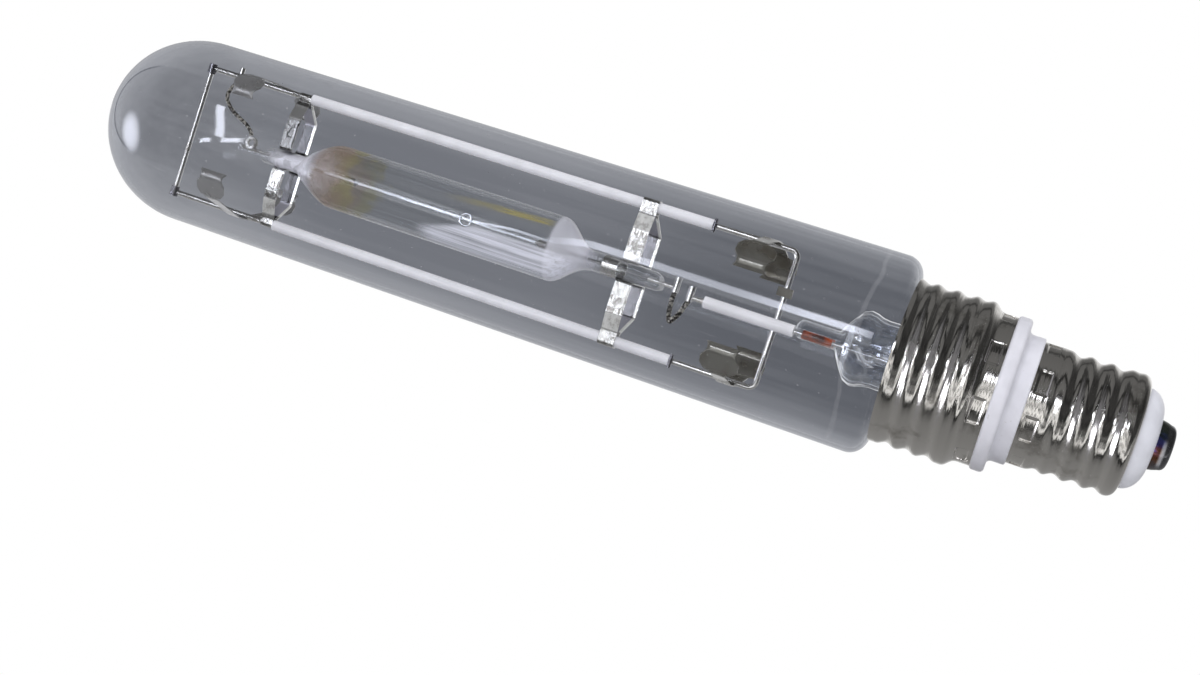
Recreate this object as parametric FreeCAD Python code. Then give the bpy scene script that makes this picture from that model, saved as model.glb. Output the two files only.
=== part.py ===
"""Clear tubular discharge lamp with a skirted screw cap, 381 mm long.

The lamp lies along X. The origin is the flat tip of the centre contact, +X points out of the
cap, and the dome of the glass bulb is at negative X. The wire frame that carries the burner
lies in the XZ plane, and the feed conductor runs in front of it, on the -Y side.
All lengths are in millimetres.
"""
import FreeCAD, Part
import math
import os

Vector = FreeCAD.Vector
AXIS = Vector(1, 0, 0)
ORIGIN = Vector(0, 0, 0)

# Cap, from the tip of the contact towards the bulb
contact_height = 5.9
contact_base_radius = 8.2
contact_tip_radius = 4.4
contact_rim = 1.3
contact_margin = 0.6
insulator_height = 5.4
insulator_radius = 16.2
insulator_plug_depth = 6.0
insulator_rim = 1.0
shell_length = 33.4
shell_crest_radius = 19.75
shell_pitch = 6.35
shell_thread_depth = 1.25
shell_collar_length = 6.2
shell_curl_radius = 3.0
shell_sheet = 0.55
shell_dents = 8
shell_dent_angle = 22.0
ring_step_length = 5.4
ring_step_radius = 20.7
ring_flange_length = 4.6
ring_flange_radius = 25.2
ring_bore_radius = 9.0
ring_blend = 1.4
ring_chamfer = 0.6
ring_spigot_length = 6.0
skirt_length = 32.0
skirt_crest_radius = 27.1
skirt_pitch = 6.35
skirt_thread_depth = 1.15
skirt_collar_radius = 24.4
skirt_collar_length = 6.4
skirt_sheet = 0.55
skirt_dents = 8
skirt_dent_angle = 28.0
dent_length = 3.8
dent_width = 8.0
dent_depth = 0.3

# Glass bulb and its stem
bulb_radius = 33.0
bulb_wall = 1.3
bulb_length = 293.9
shoulder_round = 6.0
neck_insert = 23.0
stem_length = 55.5
stem_radius = 11.2
stem_wall = 1.1
stem_press_length = 14.5
stem_shoulder_length = 7.0
stem_crown = 2.2
stem_press_width = 17.0
stem_press_thickness = 6.5
exhaust_radius = 2.1
exhaust_wall = 0.7
exhaust_length = 30.0

# Wire frame, ceramic sleeves and conductors
frame_gap = 7.6
cross_rod_gap = 30.3
frame_half_height = 23.5
frame_rod_radius = 0.95
frame_corner = 2.6
cross_rod_radius = 0.85
cross_collar_radius = 1.5
cross_collar_length = 3.6
sleeve_gap = 29.8
sleeve_radius = 1.85
sleeve_bore = 1.05
stop_wire_radius = 0.6
stop_wire_length = 4.6
feed_offset = 3.3
feed_drop = 1.5
feed_rod_radius = 0.8
feed_sleeve_radius = 2.0
feed_sleeve_length = 31.0
feed_sleeve_gap = 0.7
feed_rod_overhang = 3.9
lead_radius = 0.75
lead_tail = 4.0
wire_bend = 4.0
seal_radius = 1.5
seal_length = 10.0

# Burner
burner_gap = 48.0
burner_dome_gap = 30.1
burner_radius = 11.3
burner_wall = 1.1
burner_taper = 13.5
burner_end_depth = 4.0
dome_pinch_length = 16.0
base_pinch_length = 25.0
pinch_width = 13.0
pinch_thickness = 6.0
electrode_radius = 0.55
electrode_reach = 8.0
electrode_tip_length = 1.2
electrode_coil_radius = 1.3
electrode_coil_length = 4.0
foil_length = 14.0
foil_width = 4.0
foil_thickness = 0.1
foil_margin = 5.0
burner_lead_radius = 0.65
dome_lead_length = 10.8
base_lead_length = 4.0
eye_radius = 2.1
eye_bore = 1.3
eye_length = 1.6
eye_inset = 3.2
burner_band_gap = 5.0
burner_band_length = 5.4

# Straps and springs
strap_dome_width = 4.8
strap_base_width = 5.8
strap_sheet = 0.35
strap_bend = 1.1
strap_dome_front = 4.0
strap_dome_back = 8.5
strap_base_front = 3.4
strap_base_back = 15.0
strap_slope = 6.0
strap_shank = 1.0
strap_lap_length = 9.0
spring_sheet = 0.35
spring_bend = 3.0
spring_arm_width = 5.0
spring_clearance = 0.3
spring_curl = 2.0
dome_spring_gap = 27.4
dome_strap_gap = 8.5
dome_pad_length = 11.0
dome_pad_width = 8.0
dome_pad_upper_angle = 44.0
dome_pad_lower_angle = 33.0
base_spring_x = 9.0
base_pad_length = 13.0
base_pad_width = 8.6
base_pad_angle = 36.0

# Braided leads and their fittings
braid_radius = 0.9
braid_bend = 1.0
ferrule_radius = 1.15
ferrule_length = 5.2
base_loop_drop = 11.0
dome_braid_gap = 10.4
weld_post_radius = 0.9
weld_post_length = 2.4
getter_length = 5.0
getter_height = 3.0
getter_depth = 1.6
getter_lift = 9.5

fit_clearance = 0.1

# Fineness of the rolled threads: rings in a pitch, and what smoothing takes off a ridge
rings_per_pitch = 6
thread_swell = 1.2

# Positions along the axis that follow from those lengths
insulator_tip_x = -contact_height
shell_end_x = insulator_tip_x - insulator_height
shell_start_x = shell_end_x - shell_length
ring_shelf_x = shell_start_x - ring_step_length
skirt_end_x = ring_shelf_x - ring_flange_length
skirt_start_x = skirt_end_x - skirt_length
neck_rim_x = skirt_start_x + neck_insert
dome_tip_x = skirt_start_x - bulb_length
dome_centre_x = dome_tip_x + bulb_radius
stem_tip_x = neck_rim_x - stem_length
press_root_x = stem_tip_x + stem_press_length
frame_bar_x = stem_tip_x - frame_gap
cross_rod_x = dome_tip_x + cross_rod_gap
sleeve_base_x = frame_bar_x - sleeve_gap
burner_base_x = stem_tip_x - burner_gap
burner_dome_x = cross_rod_x + burner_dome_gap
body_dome_x = burner_dome_x + dome_pinch_length + burner_taper
body_base_x = burner_base_x - base_pinch_length - burner_taper
burner_band_x = body_base_x + burner_taper + burner_band_gap
strap_base_x = burner_band_x + burner_band_length + fit_clearance + strap_base_width / 2
dome_spring_x = cross_rod_x + dome_spring_gap
strap_dome_x = dome_spring_x + dome_strap_gap + strap_dome_width / 2
sleeve_dome_x = strap_dome_x + strap_dome_width / 2 + fit_clearance
spring_base_x = frame_bar_x - base_spring_x
feed_sleeve_base_x = stem_tip_x - feed_sleeve_gap
feed_sleeve_start_x = feed_sleeve_base_x - feed_sleeve_length
feed_rod_start_x = feed_sleeve_start_x - feed_rod_overhang
burner_ferrule_x = burner_base_x + base_lead_length + ferrule_radius
feed_ferrule_x = feed_rod_start_x - ferrule_radius
dome_braid_x = cross_rod_x + dome_braid_gap
eye_x = burner_dome_x - dome_lead_length + eye_inset

# Radii that follow
bulb_inner_radius = bulb_radius - bulb_wall
skirt_bore_radius = skirt_crest_radius - skirt_thread_depth - skirt_sheet
neck_radius = skirt_bore_radius - fit_clearance
shell_bore_radius = shell_crest_radius - shell_thread_depth - shell_sheet
pinch_half = pinch_thickness / 2


def fillet_path(points, radius, closed=False):
    """Straight runs and tangent arcs through 2-D points: a list of (kind, data) pieces."""
    count = len(points)
    pieces = []
    corners = []
    for index, corner in enumerate(points):
        if not closed and index in (0, count - 1):
            corners.append((corner, corner, None, 0.0))
            continue
        before = points[index - 1]
        after = points[(index + 1) % count]
        to_before = Vector(before[0] - corner[0], before[1] - corner[1], 0).normalize()
        to_after = Vector(after[0] - corner[0], after[1] - corner[1], 0).normalize()
        half = to_before.getAngle(to_after) / 2
        reach = radius / math.tan(half)
        middle = Vector(to_before.x + to_after.x, to_before.y + to_after.y, 0).normalize()
        centre = Vector(corner[0], corner[1], 0) + middle * (radius / math.sin(half))
        enter = (corner[0] + to_before.x * reach, corner[1] + to_before.y * reach)
        leave = (corner[0] + to_after.x * reach, corner[1] + to_after.y * reach)
        side = to_before.x * to_after.y - to_before.y * to_after.x
        corners.append((enter, leave, centre, radius if side < 0 else -radius))
    last = count if closed else count - 1
    for index in range(last):
        start = corners[index]
        end = corners[(index + 1) % count]
        pieces.append(("line", start[1], end[0]))
        if end[2] is not None:
            pieces.append(("arc", end[0], end[1], end[2], end[3]))
    return pieces


def shifted(pieces, offset):
    """The same path moved sideways: positive offsets lie on its left."""
    moved = []
    for piece in pieces:
        if piece[0] == "line":
            run = Vector(piece[2][0] - piece[1][0], piece[2][1] - piece[1][1], 0).normalize()
            side = Vector(-run.y, run.x, 0) * offset
            start = (piece[1][0] + side.x, piece[1][1] + side.y)
            end = (piece[2][0] + side.x, piece[2][1] + side.y)
            moved.append(("line", start, end))
        else:
            centre = piece[3]
            radius = abs(piece[4])
            scale = (radius - offset * math.copysign(1, piece[4])) / radius
            start = (centre.x + (piece[1][0] - centre.x) * scale, centre.y + (piece[1][1] - centre.y) * scale)
            end = (centre.x + (piece[2][0] - centre.x) * scale, centre.y + (piece[2][1] - centre.y) * scale)
            moved.append(("arc", start, end, centre, piece[4] * scale))
    return moved


def path_edges(pieces, place):
    """Edges of a path, with place turning each 2-D point into a point in space."""
    edges = []
    for piece in pieces:
        start = place(*piece[1])
        end = place(*piece[2])
        if start.distanceToPoint(end) < 1e-6:
            continue
        if piece[0] == "line":
            edges.append(Part.makeLine(start, end))
        else:
            centre = piece[3]
            chord = Vector((piece[1][0] + piece[2][0]) / 2, (piece[1][1] + piece[2][1]) / 2, 0) - centre
            middle = centre + chord.normalize() * abs(piece[4])
            edges.append(Part.Arc(start, place(middle.x, middle.y), end).toShape())
    return edges


def strip(points, radius, sheet, place, push, closed=False):
    """A bent sheet strip: a path given its thickness and pushed sideways to its width."""
    path = fillet_path(points, radius, closed)
    left = path_edges(shifted(path, sheet / 2), place)
    right = path_edges(shifted(path, -sheet / 2), place)
    if closed:
        rims = [Part.Face(Part.Wire(edges)) for edges in (left, right)]
        rims.sort(key=lambda face: face.Area)
        return rims[1].cut(rims[0]).extrude(push)
    caps = [
        Part.makeLine(left[-1].valueAt(left[-1].LastParameter), right[-1].valueAt(right[-1].LastParameter)),
        Part.makeLine(left[0].valueAt(left[0].FirstParameter), right[0].valueAt(right[0].FirstParameter)),
    ]
    outline = Part.Wire(Part.__sortEdges__(left + right + caps))
    return Part.Face(outline).extrude(push)


def wire(points, radius):
    """A thin round wire whose straight runs are mitred where they meet."""
    path = Part.makePolygon(points)
    section = Part.Wire(Part.makeCircle(radius, points[0], points[1] - points[0]))
    sweep = Part.BRepOffsetAPI.MakePipeShell(path)
    sweep.setTransitionMode(1)
    sweep.add(section)
    sweep.build()
    sweep.makeSolid()
    return sweep.shape()


def rod(start, end, radius):
    """A plain round bar between two points."""
    return Part.makeCylinder(radius, (end - start).Length, start, end - start)


def tube(start, end, radius, bore):
    """A round tube between two points."""
    return rod(start, end, radius).cut(rod(start, end, bore))


def turned(pieces):
    """A solid of revolution about X from edges in the half plane, radius along Z."""
    return Part.Face(Part.Wire(pieces)).revolve(ORIGIN, AXIS, 360)


def outline(points):
    """Edges of a closed outline in the half plane; a third value rounds that corner."""
    edges = []
    count = len(points)
    ends = []
    for index, point in enumerate(points):
        corner = Vector(point[0], 0, point[1])
        if len(point) < 3:
            ends.append((corner, corner, None))
            continue
        before = points[index - 1]
        after = points[(index + 1) % count]
        back = (Vector(before[0], 0, before[1]) - corner).normalize()
        ahead = (Vector(after[0], 0, after[1]) - corner).normalize()
        half = back.getAngle(ahead) / 2
        reach = point[2] / math.tan(half)
        middle = corner + (back + ahead).normalize() * (point[2] / math.sin(half) - point[2])
        ends.append((corner + back * reach, corner + ahead * reach, middle))
    for index in range(count):
        start = ends[index][1]
        end = ends[(index + 1) % count]
        if start.distanceToPoint(end[0]) > 1e-6:
            edges.append(Part.makeLine(start, end[0]))
        if end[2] is not None:
            edges.append(Part.Arc(end[0], end[2], end[1]).toShape())
    return edges


def on_axis(x, y=0.0, z=0.0):
    """A point at x along the lamp."""
    return Vector(x, y, z)


def rolled_sheet(rows, pitch, bore, columns=16):
    """A rolled shell whose rings dip along a helix: rows hold (x, radius, thread depth).

    The bore is the outline of the inside, from the first row's end to the last row's.
    """
    swell = 3.0 / (2.0 + math.cos(2 * math.pi / columns))
    poles = []
    for x, radius, depth in rows:
        ring = []
        for column in range(columns):
            turn = 2 * math.pi * column / columns
            dip = depth / 2 * (1 - math.cos(2 * math.pi * x / pitch - turn))
            reach = (radius - dip) * swell
            ring.append(Vector(x, reach * math.cos(turn), reach * math.sin(turn)))
        poles.append(ring)
    surface = Part.BSplineSurface()
    along_mults = [4] + [1] * (len(poles) - 4) + [4]
    around_mults = [1] * (columns + 1)
    along_knots = list(range(len(along_mults)))
    around_knots = list(range(columns + 1))
    surface.buildFromPolesMultsKnots(
        poles, along_mults, around_mults, along_knots, around_knots, False, True, 3, 3)
    skin = surface.toShape()
    faces = [skin]
    for edge in skin.Edges:
        if edge.isClosed():
            faces.append(Part.Face(Part.Wire(edge)))
    shell = Part.makeShell(faces)
    shell.sewShape()
    inside = [(rows[0][0] - pitch, 0.0), (rows[0][0] - pitch, bore[0][1])] + bore
    inside += [(rows[-1][0] + pitch, bore[-1][1]), (rows[-1][0] + pitch, 0.0)]
    return Part.makeSolid(shell).cut(turned(outline(inside)))


def thread_rows(start_x, end_x, radius, depth, pitch):
    """Rings of a rolled thread that fades in and out over half a pitch at its ends."""
    count = max(4, round((end_x - start_x) / pitch * rings_per_pitch))
    rows = []
    for index in range(count + 1):
        x = start_x + (end_x - start_x) * index / count
        near_end = min(x - start_x, end_x - x)
        rows.append((x, radius, depth * thread_swell * min(1.0, near_end / (pitch / 2))))
    return rows


def collar_dents(shape, radius, centre_x, count, first_angle):
    """Punched staking dents, evenly spaced round a collar."""
    start = centre_x - dent_length / 2
    core = rod(on_axis(start), on_axis(start + dent_length), radius - dent_depth)
    for index in range(count):
        pocket = Part.makeBox(dent_length, dent_width, radius, Vector(start, -dent_width / 2, radius / 2))
        pocket = pocket.cut(core)
        angle = first_angle - 90 + index * 360 / count
        pocket.rotate(ORIGIN, AXIS, 90 - angle)
        shape = shape.cut(pocket)
    return shape


def make_outer_bulb():
    """Blown bulb: dome, straight tube, rounded shoulder and the neck inside the skirt."""
    tip = math.sqrt(0.5)
    shoulder_x = skirt_start_x - fit_clearance

    def skin(inset, end_x, shoulder):
        radius = bulb_radius - inset
        neck = neck_radius - inset
        dome = Part.Arc(Vector(dome_tip_x + inset, 0, 0),
                        Vector(dome_centre_x - radius * tip, 0, radius * tip),
                        Vector(dome_centre_x, 0, radius)).toShape()
        cap = [dome,
               Part.makeLine(Vector(dome_centre_x, 0, radius), Vector(dome_centre_x, 0, 0)),
               Part.makeLine(Vector(dome_centre_x, 0, 0), Vector(dome_tip_x + inset, 0, 0))]
        body = outline([
            (dome_centre_x, 0.0),
            (dome_centre_x, radius),
            *shoulder,
            (shoulder_x - inset, neck),
            (end_x, neck),
            (end_x, 0.0),
        ])
        return turned(body).fuse(turned(cap)).removeSplitter()

    inner_x = shoulder_x - bulb_wall
    slope = (shoulder_round - bulb_wall) * (2 - math.sqrt(2))
    outside = skin(0.0, neck_rim_x, [(shoulder_x, bulb_radius, shoulder_round)])
    inside = skin(bulb_wall, neck_rim_x + bulb_wall,
                  [(inner_x - slope, bulb_inner_radius), (inner_x, bulb_inner_radius - slope)])
    return outside.cut(inside)


def make_glass_stem():
    """Flare sealed to the neck rim, stem tube, flattened press and the exhaust stub."""
    seat = neck_radius - bulb_wall - fit_clearance
    flare_x = neck_rim_x - 7.0
    flare = turned(outline([
        (press_root_x, stem_radius - stem_wall),
        (press_root_x, stem_radius),
        (flare_x, stem_radius),
        (neck_rim_x, seat),
        (neck_rim_x + stem_wall, seat),
        (flare_x + stem_wall, stem_radius - stem_wall),
    ]))
    root = Part.Wire(Part.makeCircle(stem_radius, on_axis(press_root_x), AXIS))
    press_x = press_root_x - stem_shoulder_length
    shoulder = flat_section(press_x, stem_press_width, stem_press_thickness, -feed_drop)
    crown_x = press_root_x - stem_crown
    crown = flat_section(crown_x, 1.9 * stem_radius, 1.62 * stem_radius, -feed_drop * 0.3)
    closing = Part.makeLoft([root, crown, shoulder], True)
    press = Part.Face(shoulder).extrude(Vector(stem_tip_x - press_x, 0, 0))
    seal_off_x = press_root_x + exhaust_length
    exhaust = turned(outline([
        (press_root_x, exhaust_radius - exhaust_wall),
        (press_root_x, exhaust_radius),
        (seal_off_x - exhaust_radius, exhaust_radius),
        (seal_off_x, 0.0),
        (seal_off_x - exhaust_radius, 0.0),
        (seal_off_x - exhaust_radius, exhaust_radius - exhaust_wall),
    ]))
    stem = flare.multiFuse([closing, press, exhaust]).removeSplitter()
    return stem.cut([make_stem_lead(-1), make_stem_lead(1), make_stem_seal(-1), make_stem_seal(1)])


def make_stem_lead(side):
    """Wire through the press: side -1 is the feed, side 1 bends over to touch the frame."""
    inner_end = lead_point(neck_rim_x + lead_tail, side)
    if side < 0:
        return rod(lead_point(stem_tip_x, side), inner_end, lead_radius)
    touch = Vector(0, frame_rod_radius + lead_radius, -feed_drop)
    past_bar = on_axis(frame_bar_x - 2 * lead_radius) + touch
    before_bar = on_axis(frame_bar_x + 2 * lead_radius) + touch
    return wire([past_bar, before_bar, lead_point(stem_tip_x - 2 * lead_radius, side), inner_end],
                lead_radius)


def lead_point(x, side):
    """A point on the line of a stem lead: side -1 is the feed in front, side 1 lies behind."""
    return Vector(x, side * feed_offset, -feed_drop)


def make_stem_seal(side):
    """Sealing sleeve on a stem lead, inside the press."""
    middle = stem_tip_x + stem_press_length / 2
    return tube(lead_point(middle - seal_length / 2, side), lead_point(middle + seal_length / 2, side),
                seal_radius, lead_radius)


def make_frame_rod():
    """The one long wire of the frame: out along the top, across, and back along the bottom."""
    high = frame_half_height
    bend_x = frame_bar_x - frame_corner
    bend_z = high - frame_corner
    pieces = []
    for side in (-1, 1):
        bend = Part.Wire(Part.makeCircle(frame_rod_radius, on_axis(bend_x, 0, side * high), AXIS))
        pieces.append(Part.Face(bend).revolve(on_axis(bend_x, 0, side * bend_z), Vector(0, side, 0), 90))
        pieces.append(rod(on_axis(cross_rod_x, 0, side * high), on_axis(bend_x, 0, side * high),
                          frame_rod_radius))
    bar = rod(on_axis(frame_bar_x, 0, -bend_z), on_axis(frame_bar_x, 0, bend_z), frame_rod_radius)
    return bar.multiFuse(pieces)


def cross_rod_end():
    """Height at which the cross rod ends, past the frame rods."""
    return frame_half_height + frame_rod_radius + 0.6


def make_cross_rod():
    """Rod across the dome end, held by its collars against the ends of the frame wire."""
    return rod(cross_point(-cross_rod_end()), cross_point(cross_rod_end()), cross_rod_radius)


def cross_point(height):
    """A point on the line of the cross rod."""
    return on_axis(cross_rod_x - cross_collar_radius, 0, height)


def make_cross_collar(side):
    """Collar pinched on to an end of the cross rod and welded to the frame wire."""
    outer = side * cross_rod_end()
    return tube(cross_point(outer - side * cross_collar_length), cross_point(outer),
                cross_collar_radius, cross_rod_radius)


def make_frame_sleeve(side):
    """Ceramic tube over a frame rod."""
    height = side * frame_half_height
    return tube(on_axis(sleeve_dome_x, 0, height), on_axis(sleeve_base_x, 0, height),
                sleeve_radius, sleeve_bore)


def make_sleeve_stop(side):
    """Short wire welded across a frame rod to hold its sleeve."""
    x = sleeve_base_x + fit_clearance + stop_wire_radius
    y = -frame_rod_radius - stop_wire_radius
    height = side * frame_half_height
    return rod(on_axis(x, y, height - stop_wire_length / 2),
               on_axis(x, y, height + stop_wire_length / 2), stop_wire_radius)


def make_feed_sleeve():
    """Ceramic tube over the feed rod."""
    return tube(lead_point(feed_sleeve_start_x, -1), lead_point(feed_sleeve_base_x, -1),
                feed_sleeve_radius, feed_rod_radius + fit_clearance)


def make_feed_rod():
    """Rod from the braided loop to the stem lead."""
    return rod(lead_point(feed_rod_start_x, -1), lead_point(stem_tip_x, -1), feed_rod_radius)


def strap_points(height, seat, front, back):
    """Path of an upper strap: round the rod, out to its depths, and flat across the pinch."""
    half = strap_sheet / 2
    top = height + seat + half
    side = seat + half
    floor = pinch_half + half
    shank = height - seat - strap_shank
    knee = shank - strap_slope
    return [(-side, top), (-side, shank), (-front, knee), (-front, floor),
            (back, floor), (back, knee), (side, shank), (side, top)]


def make_strap(centre_x, width, seat, front, back, side):
    """Clamp strap: a closed band round a rod that lies against the burner's pinch."""
    start = centre_x - width / 2
    band = strip(strap_points(frame_half_height, seat, front, back), strap_bend, strap_sheet,
                 lambda y, z: Vector(start, y, z), Vector(width, 0, 0), True)
    middle = (frame_half_height - seat - strap_shank - strap_slope + pinch_half) / 2
    lap = Part.makeBox(width - strap_sheet, strap_sheet, strap_lap_length,
                       Vector(start, -front - strap_sheet * 1.5, middle - strap_lap_length / 2))
    band = band.fuse(lap)
    if side < 0:
        band = band.mirror(ORIGIN, Vector(0, 0, 1))
    return band


def make_spring(centre_x, pad_length, pad_width, pad_angle, side):
    """Bow spring: welded over a frame rod, with an oval pad against the glass front and back."""
    reach = bulb_inner_radius - spring_clearance - spring_sheet / 2
    crown = frame_half_height + frame_rod_radius + spring_sheet / 2
    spread = math.degrees(pad_width / 2 / reach)

    def at(angle, radius):
        return radius * math.cos(math.radians(angle)), radius * math.sin(math.radians(angle))

    half = [at(pad_angle + spread, reach), at(pad_angle - spread, reach),
            at(pad_angle - spread * 1.4, reach - spring_curl)]
    points = [(-y, z) for y, z in reversed(half)]
    points += [(-spring_arm_width, crown), (spring_arm_width, crown)] + half
    start = centre_x - pad_length / 2
    bow = strip(points, spring_bend, spring_sheet, lambda y, z: Vector(start, y, z),
                Vector(pad_length, 0, 0))
    near = half[0][0]
    far = half[1][0]
    middle = (near + far) / 2
    long_half = max(pad_length, far - near) / 2 + fit_clearance
    plan = Part.makeBox(spring_arm_width, 2 * middle, bulb_radius,
                        Vector(centre_x - spring_arm_width / 2, -middle, 0))
    for hand in (-1, 1):
        pad = oval_face(centre_x, hand * middle, long_half, (far - near) / 2 + spring_sheet)
        plan = plan.fuse(pad.extrude(Vector(0, 0, bulb_radius)))
    spring = bow.common(plan)
    if side < 0:
        spring = spring.mirror(ORIGIN, Vector(0, 0, 1))
    return spring


def oval_face(x, y, half_length, half_width, sides=12):
    """A many-sided oval in the XY plane."""
    points = []
    for index in range(sides):
        turn = 2 * math.pi * (index + 0.5) / sides
        points.append(Vector(x + half_length * math.cos(turn), y + half_width * math.sin(turn), 0))
    return Part.Face(Part.makePolygon(points + points[:1]))


def flat_section(x, width, thickness, lift=0.0):
    """Flattened ring across the lamp at x: flat top and bottom with round edges."""
    half_width = (width - thickness * 0.7) / 2
    half_height = thickness / 2
    bulge = width / 2
    edges = [
        Part.makeLine(Vector(x, -half_width, lift - half_height), Vector(x, half_width, lift - half_height)),
        Part.Arc(Vector(x, half_width, lift - half_height), Vector(x, bulge, lift),
                 Vector(x, half_width, lift + half_height)).toShape(),
        Part.makeLine(Vector(x, half_width, lift + half_height), Vector(x, -half_width, lift + half_height)),
        Part.Arc(Vector(x, -half_width, lift + half_height), Vector(x, -bulge, lift),
                 Vector(x, -half_width, lift - half_height)).toShape(),
    ]
    return Part.Wire(edges)


def make_arc_tube():
    """Quartz burner: a round body whose ends are drawn in to flat pinches."""
    body = rod(on_axis(body_dome_x), on_axis(body_base_x), burner_radius)
    bore_radius = burner_radius - burner_wall
    bore = turned(outline([
        (body_dome_x - burner_end_depth, 0.0),
        (body_dome_x, bore_radius),
        (body_base_x, bore_radius),
        (body_base_x + burner_end_depth, 0.0),
    ]))
    pieces = []
    for hand, body_end, pinch_end in ((-1, body_dome_x, burner_dome_x), (1, body_base_x, burner_base_x)):
        neck_x = body_end + hand * burner_taper
        round_end = Part.Wire(Part.makeCircle(burner_radius, on_axis(body_end), AXIS))
        middle = flat_section(body_end + hand * burner_taper * 0.5, burner_radius * 1.8, burner_radius * 1.35)
        flat_end = flat_section(neck_x, pinch_width, pinch_thickness)
        pieces.append(Part.makeLoft([round_end, middle, flat_end], True))
        pieces.append(Part.Face(flat_end).extrude(Vector(pinch_end - neck_x, 0, 0)))
    burner = body.multiFuse(pieces).removeSplitter().cut(bore)
    sealed = [make(hand) for hand in (-1, 1) for make in (make_electrode, make_foil, make_burner_lead)]
    return burner.cut(sealed)


def foil_ends(hand):
    """X of a foil's inner and outer end."""
    pinch_end = burner_dome_x if hand < 0 else burner_base_x
    outer = pinch_end - hand * foil_margin
    return outer - hand * foil_length, outer


def make_electrode(hand):
    """Tungsten rod with its coil, from the foil into the discharge space."""
    inner = foil_ends(hand)[0]
    tip = (body_dome_x if hand < 0 else body_base_x) - hand * electrode_reach
    shank = rod(on_axis(inner), on_axis(tip), electrode_radius)
    coil_start = tip + hand * electrode_tip_length
    coil = rod(on_axis(coil_start), on_axis(coil_start + hand * electrode_coil_length), electrode_coil_radius)
    return shank.fuse(coil).removeSplitter()


def make_foil(hand):
    """Molybdenum foil in the pinch."""
    inner, outer = foil_ends(hand)
    return Part.makeBox(foil_length, foil_width, foil_thickness,
                        Vector(min(inner, outer), -foil_width / 2, -foil_thickness / 2))


def make_burner_lead(hand):
    """Wire from the foil out of the pinch; at the dome end it carries the eye of the braid."""
    outer = foil_ends(hand)[1]
    if hand > 0:
        return rod(on_axis(outer), on_axis(burner_ferrule_x - ferrule_radius), burner_lead_radius)
    shank = rod(on_axis(outer), on_axis(burner_dome_x - dome_lead_length), burner_lead_radius)
    eye = tube(Vector(eye_x, -eye_length / 2, eye_radius), Vector(eye_x, eye_length / 2, eye_radius),
               eye_radius, eye_bore)
    return shank.fuse(eye).removeSplitter()


def make_burner_band():
    """Metal band round the neck of the burner at the base end."""
    outer = flat_section(burner_band_x, pinch_width + 2 * strap_sheet, pinch_thickness + 2 * strap_sheet)
    inner = flat_section(burner_band_x, pinch_width, pinch_thickness)
    ring = Part.Face(outer).cut(Part.Face(inner))
    return ring.extrude(Vector(burner_band_length, 0, 0))


def make_ferrule(top):
    """Upright crimp tube that grips an end of the braided loop."""
    return rod(top, top - Vector(0, 0, ferrule_length), ferrule_radius)


def burner_ferrule_top():
    """Top of the ferrule on the burner's lead."""
    return on_axis(burner_ferrule_x, 0, ferrule_length * 0.7)


def feed_ferrule_top():
    """Top of the ferrule on the feed rod."""
    return lead_point(feed_ferrule_x, -1) + Vector(0, 0, ferrule_length * 0.7)


def make_braid_base():
    """Braided loop from the burner to the feed rod, hanging below both."""
    start = burner_ferrule_top() - Vector(0, 0, ferrule_length)
    end = feed_ferrule_top() - Vector(0, 0, ferrule_length)
    low = Vector(start.x * 0.6 + end.x * 0.4, (start.y + end.y) / 2, -base_loop_drop - braid_radius)
    fall = start / 2 + Vector(start.x, start.y, low.z) / 2
    rise = end / 2 + Vector(end.x, end.y, low.z) / 2
    return wire([start, fall, low - Vector(braid_bend, 0, -braid_bend), low + Vector(braid_bend, 0, braid_bend),
                 rise, end], braid_radius)


def make_braid_dome():
    """Braided lead from the upper frame rod to the eye of the burner."""
    start = on_axis(dome_braid_x, 0, frame_half_height - frame_rod_radius)
    end = on_axis(eye_x - eye_radius * 0.4, 0, eye_radius * 2 + fit_clearance)
    points = [start,
              start + Vector(0.2, 0, -3.6),
              start + Vector(-3.0, 0, -8.4),
              start + Vector(-1.4, 0, -12.4),
              end + Vector(-1.4, 0, 3.2),
              end]
    return wire(points, braid_radius)


def make_weld_post():
    """Crimped end of the dome braid, welded on top of the upper rod."""
    base = on_axis(dome_braid_x, 0, frame_half_height + frame_rod_radius)
    return rod(base, base + Vector(0, 0, weld_post_length), weld_post_radius)


def make_getter():
    """Small getter bar welded to the front of the frame's base bar."""
    return Part.makeBox(getter_length, getter_depth, getter_height,
                        Vector(frame_bar_x - getter_length / 2, -frame_rod_radius - getter_depth,
                               getter_lift - getter_height / 2))


def make_cap_skirt():
    """Rolled skirt that screws on to the moulded neck, with its staked collar."""
    collar_x = skirt_end_x - skirt_collar_length
    step = skirt_pitch / rings_per_pitch
    drop = skirt_crest_radius - skirt_collar_radius
    rows = thread_rows(skirt_start_x, collar_x - 2 * step, skirt_crest_radius, skirt_thread_depth,
                       skirt_pitch)
    for index, share in enumerate((0.12, 0.5, 0.9)):
        rows.append((collar_x + (index - 1) * step, skirt_crest_radius - drop * share, 0.0))
    rows += collar_rows(collar_x + step, skirt_end_x, skirt_collar_radius)[1:]
    bore = [(skirt_start_x, skirt_bore_radius), (collar_x - step, skirt_bore_radius),
            (collar_x, skirt_collar_radius - skirt_sheet), (skirt_end_x, skirt_collar_radius - skirt_sheet)]
    skirt = rolled_sheet(rows, skirt_pitch, bore)
    dent_x = skirt_end_x - (skirt_collar_length - step) / 2
    return collar_dents(skirt, skirt_collar_radius, dent_x, skirt_dents, skirt_dent_angle)


def collar_rows(start_x, end_x, radius):
    """Rings of a plain collar."""
    count = 5
    return [(start_x + (end_x - start_x) * index / count, radius, 0.0) for index in range(count + 1)]


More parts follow.
